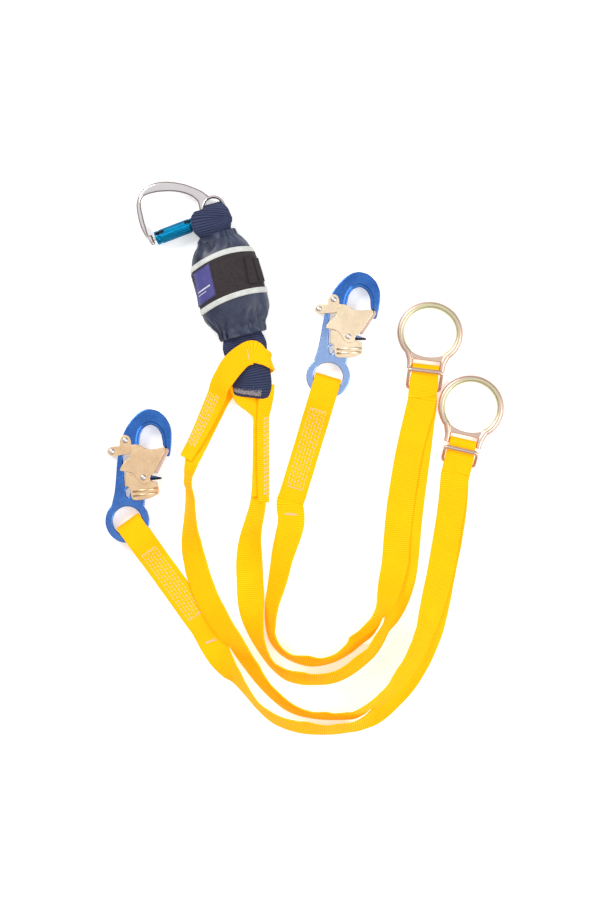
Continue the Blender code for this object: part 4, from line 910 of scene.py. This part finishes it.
def edge_stitches(p, q, lift, pitch=2.6 * MM, length=1.8 * MM):
    """Stitches along the cover from p to q, which are x, y points."""
    t = np.linspace(0, 1, 40)
    line = np.stack([p[0] + (q[0] - p[0]) * t, p[1] + (q[1] - p[1]) * t], axis=1)
    run = np.concatenate([[0.0], np.cumsum(np.linalg.norm(np.diff(line, axis=0), axis=1))])

    def place(s, rise):
        return onto(np.interp(s, run, line[:, 0]), np.interp(s, run, line[:, 1]), rise)
    runs = []
    for s in np.arange(0.0, run[-1] - length, pitch):
        start, end = place(s, lift), place(s + length, lift)
        runs.append((start, end, unit(place(s, lift + 1 * MM) - start)))
    return runs


def rotate_runs(runs, matrix):
    turn = np.array(matrix.to_3x3())
    return [tuple(turn @ np.asarray(v) for v in run) for run in runs]


LABEL_QUAD = [(-0.0330, 0.0180), (-0.0141, 0.0240), (-0.0156, -0.0110), (-0.0362, -0.0185)]
TAB_ROOT_QUAD = [(0.0222, 0.0205), (0.0288, 0.0183), (0.0283, -0.0096), (0.0192, -0.0088)]
FLAP_QUAD = [(0.0299, 0.0180), (0.0341, 0.0164), (0.0340, -0.0101), (0.0294, -0.0096)]


def stripe_line(name, x):
    """Distance along the pack of a stripe's middle at x across it."""
    top, at, bend = {"upper": (0.0308, 0.007, 5.8), "lower": (-0.0160, 0.011, 3.8)}[name]
    return top - bend * (x - at) ** 2


def band_grid():
    """x and y grids of the band between the two stripes."""
    x = np.linspace(-0.0362, 0.0352, 90)
    v = edged(60)[:, None]
    high, low = stripe_line("upper", x) - 2.6 * MM, stripe_line("lower", x) + 2.6 * MM
    return np.broadcast_to(x, (62, 90)), high * (1 - v) + low * v


# place across the tape in millimetres, and share of its full thickness
TAPE_PROFILE = ((-3.0, 0.2), (-2.85, 1.0), (-1.4, 1.0), (0.0, 1.0), (1.4, 1.0), (2.85, 1.0), (3.0, 0.2))


def build_stripes():
    """The two reflective tapes across the cover."""
    angles = np.radians(np.linspace(-14, 194, 180))
    for name in ("upper_stripe", "lower_stripe"):
        near = cover_at(np.full(angles.shape, stripe_line(name[:5], 0.007)), angles)
        rows = []
        for across, share in TAPE_PROFILE:
            y = stripe_line(name[:5], near[:, 0]) + across * MM
            top, under = cover_at(y, angles, (0.8 + 0.7 * share) * MM), cover_at(y, angles, 0.15 * MM)
            rows.append(np.stack([top, under]))
        rows = np.array(rows)
        loops = np.concatenate([rows[:, 0].transpose(1, 0, 2), rows[::-1, 1].transpose(1, 0, 2)], axis=1)
        points, faces, _ = tube_grid(loops)
        piece = link(name + "_tape", mesh_from(name, points, faces), STRIPE, PACK)
        bind(piece, "harness", name)


def cover_patch(name, grids, lift, thickness, material):
    """A patch on the cover; lift and thickness in millimetres."""
    return link(name, patch(*grids, lift * MM, thickness * MM), material, PACK)


def build_label():
    """The hook and loop band, and the label with plain bars in place of its print."""
    band = cover_patch("hook_and_loop_patch", band_grid(), 0.2, 1.0, PILE)
    bind(band, "harness", "hook_and_loop_band")
    label = cover_patch("label_panel", quad_grid(LABEL_QUAD, 40, 60), 0.9, 0.8, LABEL)
    bind(label, "harness", "label_patch")
    a, b, c, d = (np.array(corner) for corner in LABEL_QUAD)

    def spot(u, v):
        return (a * (1 - u) + b * u) * v + (d * (1 - u) + c * u) * (1 - v)
    bars = []
    for low, high, left, right in ((0.36, 0.40, 0.12, 0.80), (0.27, 0.29, 0.12, 0.55)):
        corners = [spot(left, high), spot(right, high), spot(right, low), spot(left, low)]
        bars.append(patch(*quad_grid(corners, 24, 4), 1.6 * MM, 0.25 * MM))
    bind(link("label_bars", joined(bars), PRINT, PACK), "harness")


def build_closure():
    """The closure's sewn part, which stays on the cover, and its loose tab."""
    bind(cover_patch("tab_root", quad_grid(TAB_ROOT_QUAD, 30, 50), 1.1, 2.1, PILE), "harness")
    tab = cover_patch("closure_tab", quad_grid(FLAP_QUAD, 30, 50), 1.4, 1.9, PILE)
    bind(tab, "closure_flap", "closure_flap")


def stitch_trim():
    """Stitches round the label and the closure's sewn part."""
    runs = []
    for corners, lift, inset in ((LABEL_QUAD, 1.75, 0.04), (TAB_ROOT_QUAD, 3.25, 0.10)):
        a, b, c, d = (np.array(corner) for corner in corners)
        middle = (a + b + c + d) / 4
        loop = [p + (middle - p) * inset for p in (a, b, c, d)]
        for p, q in zip(loop, loop[1:] + loop[:1]):
            runs += edge_stitches(p, q, lift * MM)
    a, b, c, d = (np.array(corner) for corner in TAB_ROOT_QUAD)
    for p, q in ((a - [0.0008, 0], d - [0.0008, 0]), (d - [0, 0.0006], c - [0, 0.0006])):
        runs += edge_stitches(p, q, 1.5 * MM, 1.6 * MM, 2.0 * MM)
    threads("trim_stitching", rotate_runs(runs, PACK), DARK_THREAD, 0.45 * MM)


# x, y, z, width, cup in millimetres, in the pack's own frame
UPPER_LOOP = [
    (0.0, 0.0395, 0.0200, 0.030, 3), (0.0, 0.048, 0.0210, 0.033, 6), (-0.0004, 0.0535, 0.0235, 0.0370, 7),
    (-0.0008, 0.0590, 0.0258, 0.0415, 5), (-0.0008, 0.0650, 0.0266, 0.0440, 4),
    (-0.0002, 0.0710, 0.0262, 0.0438, 4),
    (0.0014, 0.0763, 0.0242, 0.0408, 4), (0.0034, 0.0808, 0.0204, 0.0345, 4),
    (0.0056, 0.0845, 0.0110, 0.0185, 0), (0.0054, 0.0828, 0.0045, 0.0155, 0),
    (0.0045, 0.078, 0.0021, 0.024, 0), (0.002, 0.070, 0.0017, 0.028, 0), (0.0, 0.060, 0.0060, 0.026, 0),
    (0.0, 0.052, 0.0098, 0.024, 0), (0.0, 0.042, 0.0100, 0.024, 0),
]
# x, y, z, turn in degrees, width, cup in millimetres
LOWER_LOOP = [
    (0.0125, -0.044, 0.0190, 14, 0.034, 2), (0.0145, -0.055, 0.0205, 13, 0.040, 3),
    (0.0170, -0.068, 0.0222, 10, 0.047, 5), (0.0200, -0.085, 0.0222, 3, 0.043, 4),
    (0.0238, -0.101, 0.0226, -4, 0.0425, 5), (0.0246, -0.1140, 0.0195, -6, 0.0415, 5),
    (0.0237, -0.1220, 0.0130, -6, 0.0375, 0), (0.0235, -0.1180, 0.0078, -6, 0.037, 0),
    (0.0220, -0.108, 0.0049, -4, 0.036, 0), (0.0185, -0.088, 0.0045, 3, 0.036, 0),
    (0.0155, -0.066, 0.0075, 12, 0.030, 0),
    (0.0145, -0.055, 0.0098, 13, 0.026, 0), (0.0125, -0.044, 0.0100, 14, 0.026, 0),
]


def build_upper_loop():
    stations = [(x, y, z, 1.0, 0.0, 0.0, width, cup * MM) for x, y, z, width, cup in UPPER_LOOP]
    loop = Strap(stations, NAVY_T, 91, 0.2 * MM, rib=0.32 * MM, pitch=2.3 * MM)
    upward = np.sign(loop.normal[:, 2:3] + 1e-9)
    dimple = np.exp(-((loop.s - 0.031) / 0.005) ** 2)[:, None]
    dimple = dimple * np.exp(-((Strap.COLUMNS - 0.35) / 0.35) ** 2)[None, :]
    loop.swell -= 3.4 * MM * dimple * upward
    loop.cup *= upward[:, 0]
    piece = link("upper_loop_strap", loop.mesh("upper_loop"), NAVY, PACK)
    bind(piece, "harness", "pack_upper_loop")


def build_lower_loop():
    """The lower loop, and the frayed fibres at its worn bend."""
    stations = []
    for x, y, z, angle, width, cup in LOWER_LOOP:
        a = math.radians(angle)
        stations.append((x, y, z, math.cos(a), math.sin(a), 0.0, width, cup * MM))
    loop = Strap(stations, NAVY_T, 95, 0.2 * MM, rib=0.32 * MM, pitch=2.6 * MM)
    loop.cup *= np.sign(loop.normal[:, 2])
    piece = link("lower_loop_strap", loop.mesh("lower_loop"), NAVY)
    bind(piece, "harness", "pack_lower_loop")
    rng = np.random.default_rng(7)
    runs = []
    bend = loop.near(0.0246, -0.1140) + 6.0 * MM
    side = 1.0 if loop.normal[0][2] > 0 else -1.0
    for _ in range(1500):
        u = rng.uniform(-0.95, 0.5)
        s = bend - abs(rng.normal(0.0, 2.2 * MM))
        p, n = loop.at(s, u, 0.0, side)
        tip = p + n * rng.uniform(0.1, 0.6) * MM + loop.across[0] * rng.normal(0, 0.7) * MM
        tip = tip + np.array([0, rng.normal(0, 0.8) * MM, 0])
        runs.append((p, tip, n))
    threads("worn_edge_fibres", runs, FRAY, 0.17 * MM)


# ---------------------------------------------------------------- carabiner

CARABINER_EYE = Vector((-0.0163, 0.0797, 0.0110))
GATE_HINGE = Vector((-0.0111, -0.0139, 0.0))
GATE_ANGLE = math.radians(201.0)
CARABINER_OUTER = [(-7.0, 14.2), (-14.8, 19.3), (-32.0, 25.8), (-51.0, 28.4), (-66.0, 26.0),
                   (-77.5, 18.8), (-83.0, 8.0), (-83.4, -3.0), (-80.0, -19.0), (-75.0, -30.0),
                   (-71.5, -34.5)]
CARABINER_INNER = [(-73.5, -15.0), (-76.2, -3.0), (-77.0, 6.0), (-73.5, 12.0), (-62.0, 15.6),
                   (-48.0, 16.8), (-35.0, 15.6), (-24.0, 11.8), (-17.0, 6.0)]


def arc(centre, radius, start, end, steps):
    turns = np.radians(np.linspace(start, end, steps + 1))
    return [(centre[0] + radius * math.cos(a), centre[1] + radius * math.sin(a)) for a in turns]


def build_carabiner():
    along = np.array([math.cos(GATE_ANGLE), math.sin(GATE_ANGLE)])
    inward = np.array([along[1], -along[0]])
    hinge = np.array([GATE_HINGE.x, GATE_HINGE.y]) / MM

    def at(distance, side):
        return tuple(hinge + along * distance + inward * side)
    outline = (spline(CARABINER_OUTER, 8) * 0.985).tolist()
    outline += [at(60.5, -5.6), at(56.5, -5.6), at(56.5, 5.6), at(60.0, 5.8)]
    outline += spline(CARABINER_INNER, 8).tolist()
    outline += [at(0.5, 6.6), at(5.4, 5.0), at(6.4, 0.0), at(5.2, -4.6), at(1.5, -6.6), at(-4.5, -6.8)]
    outline += arc((0.0, 0.0), 13.4, -72.0, 112.0, 40)
    plates = [rounded_plate(outline, [arc((0.0, 0.0), 9.6, 0, 354, 59)], -4.5, 4.5, 2.9, 6)]
    place = Matrix.Translation(CARABINER_EYE)
    body = fused("carabiner_forging", plates, SILVER, 5, place)
    body.data.materials.append(BEVEL_SHADE_BROWN)
    # Painted shade: the sloping bevel faces take a darker colour, chosen by the slope of their normals.
    for polygon in body.data.polygons:
        polygon.material_index = 1 if 0.35 < abs(polygon.normal.z) < 0.88 else 0
    bind(body, "carabiner", "carabiner_body")
    gate = place @ Matrix.Translation(GATE_HINGE) @ Matrix.Rotation(GATE_ANGLE, 4, "Z")
    upright = Matrix.Rotation(math.pi / 2, 4, "Y")
    rod = lathe([(0.5, 7.0), (4.2, 7.2), (4.9, 8.2), (5.0, 20), (5.0, 51.0), (4.6, 52.0), (3.0, 52.6),
                 (2.4, 53.4), (2.3, 58.4), (1.8, 59.2), (0.5, 59.3)], 64)
    rod.transform(upright)
    tang = rounded_plate(arc((0.0, 0.0), 4.6, 60, 300, 30) + [(9.4, -3.2), (9.4, 3.2)],
                         [arc((0.0, 0.0), 1.8, 0, 340, 17)], -2.3, 2.3, 0.4)
    piece = link("carabiner_gate_rod", joined([rod, tang]), SILVER, gate)
    bind(piece, "carabiner_gate", "carabiner_gate")
    build_sleeve(gate)


SLEEVE_START, SLEEVE_END = 9.5, 54.0


def in_slot(x):
    """Whether x, in millimetres along the sleeve, is beside one of its two slots."""
    return 12.5 < x < 19.5 or 43.5 < x < 52.5


def build_sleeve(gate):
    """The knurled twist sleeve round the gate, with two recessed slots coloured black as painted shade."""
    turns = np.arange(180) / 180 * 2 * math.pi
    rows = []
    middle = np.linspace(10.8, 52.8, 150)
    for x in np.concatenate([[SLEEVE_START, 9.7, 10.2], middle, [53.3, 53.8, SLEEVE_END]]):
        end = min(x - SLEEVE_START, SLEEVE_END - x)
        r = 7.05 + 0.65 * min(end / 1.6, 1.0) ** 0.5
        flute = 0.26 * (1.0 if 6.0 < end else 0.0) * np.maximum(np.cos(turns * 20), -0.2)
        groove = 0.45 * math.exp(-((end - 4.6) / 0.5) ** 2)
        cut = 1.1 * np.exp(-(((turns - math.radians(129)) / 0.27) ** 6)) if in_slot(x) else 0.0
        r = r - groove + flute * 0.9 - 0.25 - cut
        rows.append(np.stack([np.full(180, x), r * np.cos(turns), r * np.sin(turns)], axis=1) * MM)
    for x in (SLEEVE_END, 30.0, SLEEVE_START):
        rows.append(np.stack([np.full(180, x), 5.4 * np.cos(turns), 5.4 * np.sin(turns)], axis=1) * MM)
    points, faces, _ = tube_grid(np.array(rows), closed=True)
    mesh = mesh_from("sleeve", points, faces)
    piece = link("twist_sleeve", mesh, CYAN, gate)
    mesh.materials.append(PAINTED_SHADE_BLACK)
    back = gate.inverted()
    for polygon in mesh.polygons:
        where = back @ polygon.center
        turned = math.degrees(math.atan2(where.z, where.y))
        # Painted shade: the faces in the two slots are coloured black.
        if 112 < turned < 146 and in_slot(where.x / MM):
            polygon.material_index = 1
    bind(piece, "carabiner_sleeve", "carabiner_lock_sleeve")


# ---------------------------------------------------------------- snap hooks

LOCK_RIVET, EAR_RIVET, GATE_RIVET = (-2.1, 86.1), (-16.6, 74.2), (17.3, 46.5)
HOOK_BODY = [(-14.6, 24.5), (-12.9, 37.5), (-10.9, 64.0), (-8.2, 81.0), (-2.4, 98.0), (6.5, 110.5),
             (14.5, 117.3), (22.8, 119.8), (33.0, 117.7), (41.5, 110.3), (46.3, 100.5), (47.2, 92.0),
             (47.0, 83.0), (46.2, 74.0), (45.0, 68.6), (41.4, 68.8), (41.6, 76.2), (38.0, 80.4),
             (37.6, 84.5), (36.3, 92.5), (32.0, 99.6), (24.8, 103.2), (17.4, 99.8), (13.6, 92.5),
             (12.5, 84.0), (12.2, 79.6), (1.0, 78.0), (-4.8, 70.5), (-4.3, 60.0), (-2.4, 32.0),
             (-0.6, 25.4), (2.2, 25.4), (4.0, 33.0), (8.4, 40.5)]
HOOK_HORN = [(23.0, 51.5), (26.0, 48.6), (36.6, 46.6), (36.4, 44.6), (25.0, 43.4), (22.0, 37.0),
             (19.4, 28.0), (18.6, 20.5)]
GATE_PLATE = [(4.3, 81.7), (11.8, 81.6), (17.5, 77.8), (22.5, 76.4), (28.9, 76.7), (36.4, 78.4),
              (40.4, 78.4), (41.2, 75.4), (29.0, 52.0), (25.1, 49.4), (23.5, 41.9), (18.2, 38.9),
              (13.4, 41.2), (10.2, 46.0), (7.4, 50.2), (3.2, 52.3), (-2.1, 53.0), (-7.2, 53.2),
              (-7.7, 54.8), (-4.3, 61.5), (2.1, 67.2), (2.9, 71.8)]
LOCK_PLATE = [(-16.6, 79.3), (-9.0, 79.6), (-7.9, 81.8), (-8.0, 86.1), (-6.3, 90.3), (-2.1, 92.1),
              (2.1, 90.3), (3.8, 86.1), (4.2, 82.0), (8.4, 77.4), (8.4, 72.8), (2.7, 71.9),
              (-10.7, 69.3), (-16.6, 69.1), (-20.2, 70.6), (-21.7, 74.2), (-20.2, 77.8)]
LEVER_PLATE = [(-1.6, 51.4), (8.5, 52.4), (17.3, 53.2), (22.2, 51.0), (23.8, 46.4), (25.5, 42.0),
               (32.2, 41.8), (34.2, 31.0), (33.2, 28.4), (23.5, 23.9), (12.8, 22.0), (5.3, 22.5),
               (3.7, 29.0), (3.2, 35.3), (-1.6, 37.5)]
THROAT = (25.0, 86.0)
EYE_INSIDE, EYE_MIDDLE, EYE_OUTSIDE, EYE_BAR = 15.5, 19.5, 23.5, 3.95


def softened(points):
    """Outline with its corners eased."""
    p = np.asarray(points, float)
    for _ in range(2):
        after = np.roll(p, -1, axis=0)
        p = np.stack([p * 0.8 + after * 0.2, p * 0.2 + after * 0.8], axis=1).reshape(-1, 2)
    return p.tolist()


def cheeks(name, outline, hole, low, high, material, matrix, web=None, bevel=0.35):
    """Two stamped side plates, with the bent web that joins them."""
    shape = softened(outline)
    meshes = [rounded_plate(shape, hole, low, high, bevel), rounded_plate(shape, hole, -high, -low, bevel)]
    if web:
        meshes.append(rounded_plate(web, [], -high + 0.2, high - 0.2, 0.3))
    return link(name, joined(meshes), material, matrix)


RIVET_HEAD = [(0.2, 1.75), (0.9, 1.68), (1.7, 1.42), (2.4, 1.02), (2.9, 0.55), (3.15, 0.15), (3.2, 0.0),
              (2.0, 0.0)]


def dome(name, centre, low, material, matrix):
    """A rivet with a head on each side."""
    top = [(r, low + z) for r, z in RIVET_HEAD]
    shape = lathe([(r, -z) for r, z in top] + top[::-1], 40)
    shape.transform(Matrix.Translation(Vector((centre[0] * MM, centre[1] * MM, 0.0))))
    return link(name, shape, material, matrix)


def rivet_hole(centre, radius=2.3):
    return arc(centre, radius, 0, 330, 11)


def hook_forging(side, place):
    """The blue body: a plate, a thicker crown above the gate, and a round bar for the eye."""
    lobe = arc(GATE_RIVET, 7.6, 190.0, 52.0, 10)
    rim = arc((0.0, 0.0), EYE_OUTSIDE, 40.0, -224.0, 60)
    outline = softened(HOOK_BODY) + lobe + HOOK_HORN + rim
    inner = []
    for x, y in HOOK_BODY:
        away = np.array([x - THROAT[0], y - THROAT[1]])
        reach = np.linalg.norm(away)
        if reach < 19.5 and y > 71.0:
            x, y = np.array([x, y]) + away / reach * 3.4
        inner.append((x, y))
    raised = softened(inner[:15] + inner[16:]) + lobe + HOOK_HORN + rim
    eye = arc((0.0, 0.0), EYE_INSIDE, 0, 354, 59)
    holes = [eye, rivet_hole(GATE_RIVET), rivet_hole(LOCK_RIVET)]
    crown = [p for p in raised if p[1] > 70.0]   # the step below this line is hidden by the lock channel
    circle = [(EYE_MIDDLE * MM * math.cos(a), EYE_MIDDLE * MM * math.sin(a), 0.0)
              for a in np.linspace(0, 2 * math.pi, 97)[:-1]]
    plates = [rounded_plate(outline, holes, -4.7, 4.7, 1.3, 4),
              rounded_plate(crown, holes[2:], -5.6, 5.6, 0.9), bar(circle, EYE_BAR * MM, 24, closed=True)]
    body = fused(side + "_hook_forging", plates, BLUE, 4, place)
    tint_hook(side, body, place.inverted())
    bind(body, side + "_hook", side + "_hook_body")


def tint_hook(side, body, back):
    """Painted shade in black on the horn's tip, and a lighter fade from the top down that is a painted
    reflection.
    """
    body.data.materials.append(PAINTED_SHADE_BLACK)
    tints = np.zeros(len(body.data.polygons), np.int32)
    for polygon in body.data.polygons:
        where = back @ polygon.center
        # Painted shade: the horn's tip is coloured black where the blue body lies in shade.
        if where.x > 24.6 * MM and 42.0 * MM < where.y < 46.4 * MM:
            tints[polygon.index] = 1
    body.data.polygons.foreach_set("material_index", tints)
    fade = body.data.attributes.new("painted_highlight", "FLOAT", "POINT")
    # Painted reflection: the body is lightened from the top down, strongly on the right hook.
    top, low = (86.0, 40.0) if side == "right" else (60.0, -10.0)
    strength = 0.8 if side == "right" else 0.12
    painted_highlight = [min(max((top * MM - (back @ v.co).y) / ((top - low) * MM), 0.0), 1.0) * strength
            for v in body.data.vertices]
    fade.data.foreach_set("value", painted_highlight)


GATE_FLANGE = [(41.6, 78.0), (44.2, 76.4), (44.2, 73.8), (32.0, 50.8), (29.0, 51.2), (29.9, 53.4),
               (41.9, 75.6)]
LOCK_WEB = [(-15.5, 70.0), (0.0, 71.9), (0.0, 73.3), (-15.5, 71.4)]
LEVER_WEB = [(31.4, 41.0), (32.3, 41.2), (34.0, 31.0), (33.0, 29.2), (31.6, 29.0)]
LEVER_RIDGES = [((6.4, 26.6), (32.0, 30.4)), ((6.0, 31.2), (32.4, 35.0))]


def hook_channels(side, place):
    """The stamped gate, lock and lever, with the gate's flange and the lever's ridges."""
    gate_hole, lock_hole = [rivet_hole(GATE_RIVET)], [rivet_hole(LOCK_RIVET, 2.7)]
    # the right hook's channels take the lighter copy of the zinc: painted highlight
    zinc = LIT_GOLD if side == "right" else GOLD
    gate = cheeks(side + "_gate_channel", GATE_PLATE, gate_hole, 7.3, 8.7, zinc, place)
    flange = link(side + "_gate_flange", rounded_plate(GATE_FLANGE, [], -8.1, 8.1, 0.4), RING, place)
    lock = cheeks(side + "_lock_channel", LOCK_PLATE, lock_hole, 5.8, 7.0, zinc, place, LOCK_WEB)
    lever = cheeks(side + "_lever_channel", LEVER_PLATE, gate_hole, 5.8, 7.0, zinc, place, LEVER_WEB)
    bars = []
    for a, b in LEVER_RIDGES:
        for z in (7.0, -7.0):
            path = [(a[0] * MM, a[1] * MM, z * MM), ((a[0] + b[0]) / 2 * MM, (a[1] + b[1]) / 2 * MM, z * MM),
                    (b[0] * MM, b[1] * MM, z * MM)]
            bars.append(bar(path, 1.2 * MM, 16, flat=0.45))
    ridges = link(side + "_lever_ridges", joined(bars), zinc, place)
    nodes = ((gate, "gate"), (flange, "gate"), (lock, "lock"), (lever, "lever"), (ridges, "lever"))
    for piece, node in nodes:
        bind(piece, side + "_hook_" + node, side + "_hook_" + node)


def build_hook(side):
    spec = HOOKS[side]
    place = Matrix.Translation((*spec["eye"], HOOK_Z)) @ Matrix.Rotation(spec["turn"], 4, "Z")
    if side == "right":   # drawn shorter about its gate rivet than its CAD, to follow the photo
        rivet = Matrix.Translation((0.0, GATE_RIVET[1] * MM, 0.0))
        place = place @ rivet @ Matrix.Diagonal((1.0, 0.958, 1.0, 1.0)) @ rivet.inverted()
    hook_forging(side, place)
    hook_channels(side, place)
    rivets = ((GATE_RIVET, 9.0, "hook", "gate_rivet"), (LOCK_RIVET, 7.3, "hook", "lock_rivet"),
              (EAR_RIVET, 7.3, "hook_lock", "ear_rivet"))
    for centre, low, body_name, node in rivets:
        piece = dome(side + "_" + node + "_dome", centre, low, STEEL, place)
        bind(piece, side + "_" + body_name, side + "_hook_" + node)


# ---------------------------------------------------------------- tie-back rings

RING_R = 31.6
KEEPER_CORNER = 3.4 * MM


def build_ring(side):
    spec = RINGS[side]
    place = Matrix.Translation((*spec["centre"], RING_Z)) @ Matrix.Rotation(spec["turn"], 4, "Z")
    shrink = 0.945 if side == "right" else 0.972
    neck = [(17.4, -42.0), (17.4, -37.0), (17.9, -32.4), (19.3, -28.2)]
    loop = [(RING_R * math.cos(math.radians(a)), RING_R * math.sin(math.radians(a)))
            for a in range(-48, 229, 6)]
    wire = spline(neck + loop + [(-x, y) for x, y in neck[::-1]], 5)
    wire[:, 1] = np.where(wire[:, 1] > -27.0, (wire[:, 1] + 27.0) * shrink - 27.0, wire[:, 1])
    wire = np.column_stack([wire * MM, np.zeros(len(wire))])
    radius = 3.75 * MM - 0.55 * MM * np.clip((-0.027 - wire[:, 1]) / 0.010, 0.0, 1.0)
    meshes = [bar(wire, radius, 28, flat=0.95)]
    across = np.linspace(-20.0, 20.0, 21)
    upper = [(x, -27.6 + 5.6 * (abs(x) / 20.0) ** 2) for x in across]
    meshes.append(rounded_plate(upper[::-1] + [(-18.0, -31.4), (18.0, -31.4)], [], -2.4, 2.4, 0.7))
    meshes.append(bar([(-17 * MM, -FOLD_BAR, 0), (0, -FOLD_BAR, 0), (17 * MM, -FOLD_BAR, 0)], FOLD_BAR_R, 20))
    ring = fused(side + "_ring_forging", meshes, RING, 3, place)
    # Painted highlight: a greenish yellow tint on the inner side of the wire, near its top.
    tint = ring.data.attributes.new("painted_highlight", "FLOAT", "POINT")
    back = place.inverted()
    local = [back @ v.co for v in ring.data.vertices]
    green = [min(max((31.4 * MM - math.hypot(v.x, v.y)) / (2.2 * MM), 0.0), 1.0) * (v.y > -24 * MM) * 0.8
             for v in local]
    tint.data.foreach_set("value", green)
    bind(ring, side + "_ring", side + "_ring")
    build_keeper(side, place)


def build_keeper(side, place):
    """The bent wire that holds the two strands together, with rounded corners."""
    half = WEB / 2 + 3.3 * MM
    front, rear = np.array([0, -RINGS[side]["keeper"], 6.6 * MM]), np.array([0, -KEEPER_REAR, -3.9 * MM])
    wide = np.array([half, 0, 0])
    corners = [front - wide, front + wide, rear + wide, rear - wide]
    path = []
    for i, corner in enumerate(corners):
        before, after = unit(corners[i - 1] - corner), unit(corners[(i + 1) % 4] - corner)
        for t in np.linspace(0, 1, 9):
            path.append(corner + before * KEEPER_CORNER * (1 - t) ** 2 + after * KEEPER_CORNER * t ** 2)
        reach = corners[(i + 1) % 4] - corner
        path += [corner + reach * t for t in np.linspace(0.15, 0.85, 12)]
    radius = [2.3 * MM if point[2] > 5.6 * MM else 1.7 * MM for point in path]
    keeper = link(side + "_keeper_wire", bar(path, radius, 20, closed=True), RING, place)
    bind(keeper, side + "_keeper", side + "_keeper_loop")


# ---------------------------------------------------------------- stage

def build_stage():
    floor_material = matte("pale_floor", (0.93, 0.93, 0.93), (0.95, 0.95, 0.95), 0.85, 40.0, 0.00001)
    floor_shader = floor_material.node_tree.nodes["Principled BSDF"]
    floor_shader.inputs["Emission Color"].default_value = (1.0, 1.0, 1.0, 1.0)
    floor_shader.inputs["Emission Strength"].default_value = 0.35
    mesh = bpy.data.meshes.new("floor")
    mesh.from_pydata([(-3, -3, 0), (3, -3, 0), (3, 3, 0), (-3, 3, 0)], [], [(0, 1, 2, 3)])
    floor = link("floor", mesh, floor_material)
    lights = (("key", (-1.5, 1.6, 2.2), 1.2, 58.0), ("fill", (1.9, -0.9, 1.9), 1.6, 38.0))
    for name, at, size, power in lights:
        data = bpy.data.lights.new(name, "AREA")
        data.size = size
        data.energy = power
        lamp = bpy.data.objects.new(name, data)
        lamp.location = at
        lamp.rotation_euler = (Vector((*VIEW_CENTRE, 0.0)) - Vector(at)).to_track_quat("-Z", "Y").to_euler()
        scene.collection.objects.link(lamp)
    world = bpy.data.worlds.new("studio")
    scene.world = world
    world.use_nodes = True
    tree = world.node_tree
    where = tree.nodes.new("ShaderNodeTexCoord").outputs["Generated"]
    ramp = tree.nodes.new("ShaderNodeValToRGB")
    split = tree.nodes.new("ShaderNodeSeparateXYZ")
    tree.links.new(where, split.inputs[0])
    tree.links.new(split.outputs[2], ramp.inputs[0])
    bands = ((0.0, 0.95), (0.08, 0.90), (0.16, 0.26), (0.54, 0.30), (0.70, 0.96), (1.0, 1.0))
    while len(ramp.color_ramp.elements) < len(bands):
        ramp.color_ramp.elements.new(0.5)
    for element, (position, value) in zip(ramp.color_ramp.elements, bands):
        element.position = position
        green, blue = (0.93, 0.90) if value < 0.5 else (1.0, 1.01)
        element.color = (value, value * green, value * blue, 1.0)
    tree.links.new(ramp.outputs[0], tree.nodes["Background"].inputs["Color"])
    tree.nodes["Background"].inputs["Strength"].default_value = 0.92
    scene.view_settings.view_transform = "Standard"


def main():
    straps = build_legs()
    stitch_legs(straps)
    build_eye_webs()
    build_cover()
    build_stripes()
    build_label()
    build_closure()
    stitch_trim()
    build_upper_loop()
    build_lower_loop()
    build_carabiner()
    for side in ("left", "right"):
        build_hook(side)
        build_ring(side)
    kept = {"absorber_tear_web": TEAR, "upper_cuff_elastic": COVER, "lower_cuff_elastic": COVER,
            "carabiner_gate_pin": STEEL, "carabiner_gate_spring": STEEL,
            "left_hook_gate_spring": STEEL, "right_hook_gate_spring": STEEL}
    for name, material in kept.items():
        for slot in range(len(bpy.data.objects[name].data.materials)):
            bpy.data.objects[name].data.materials[slot] = material
    build_stage()


main()
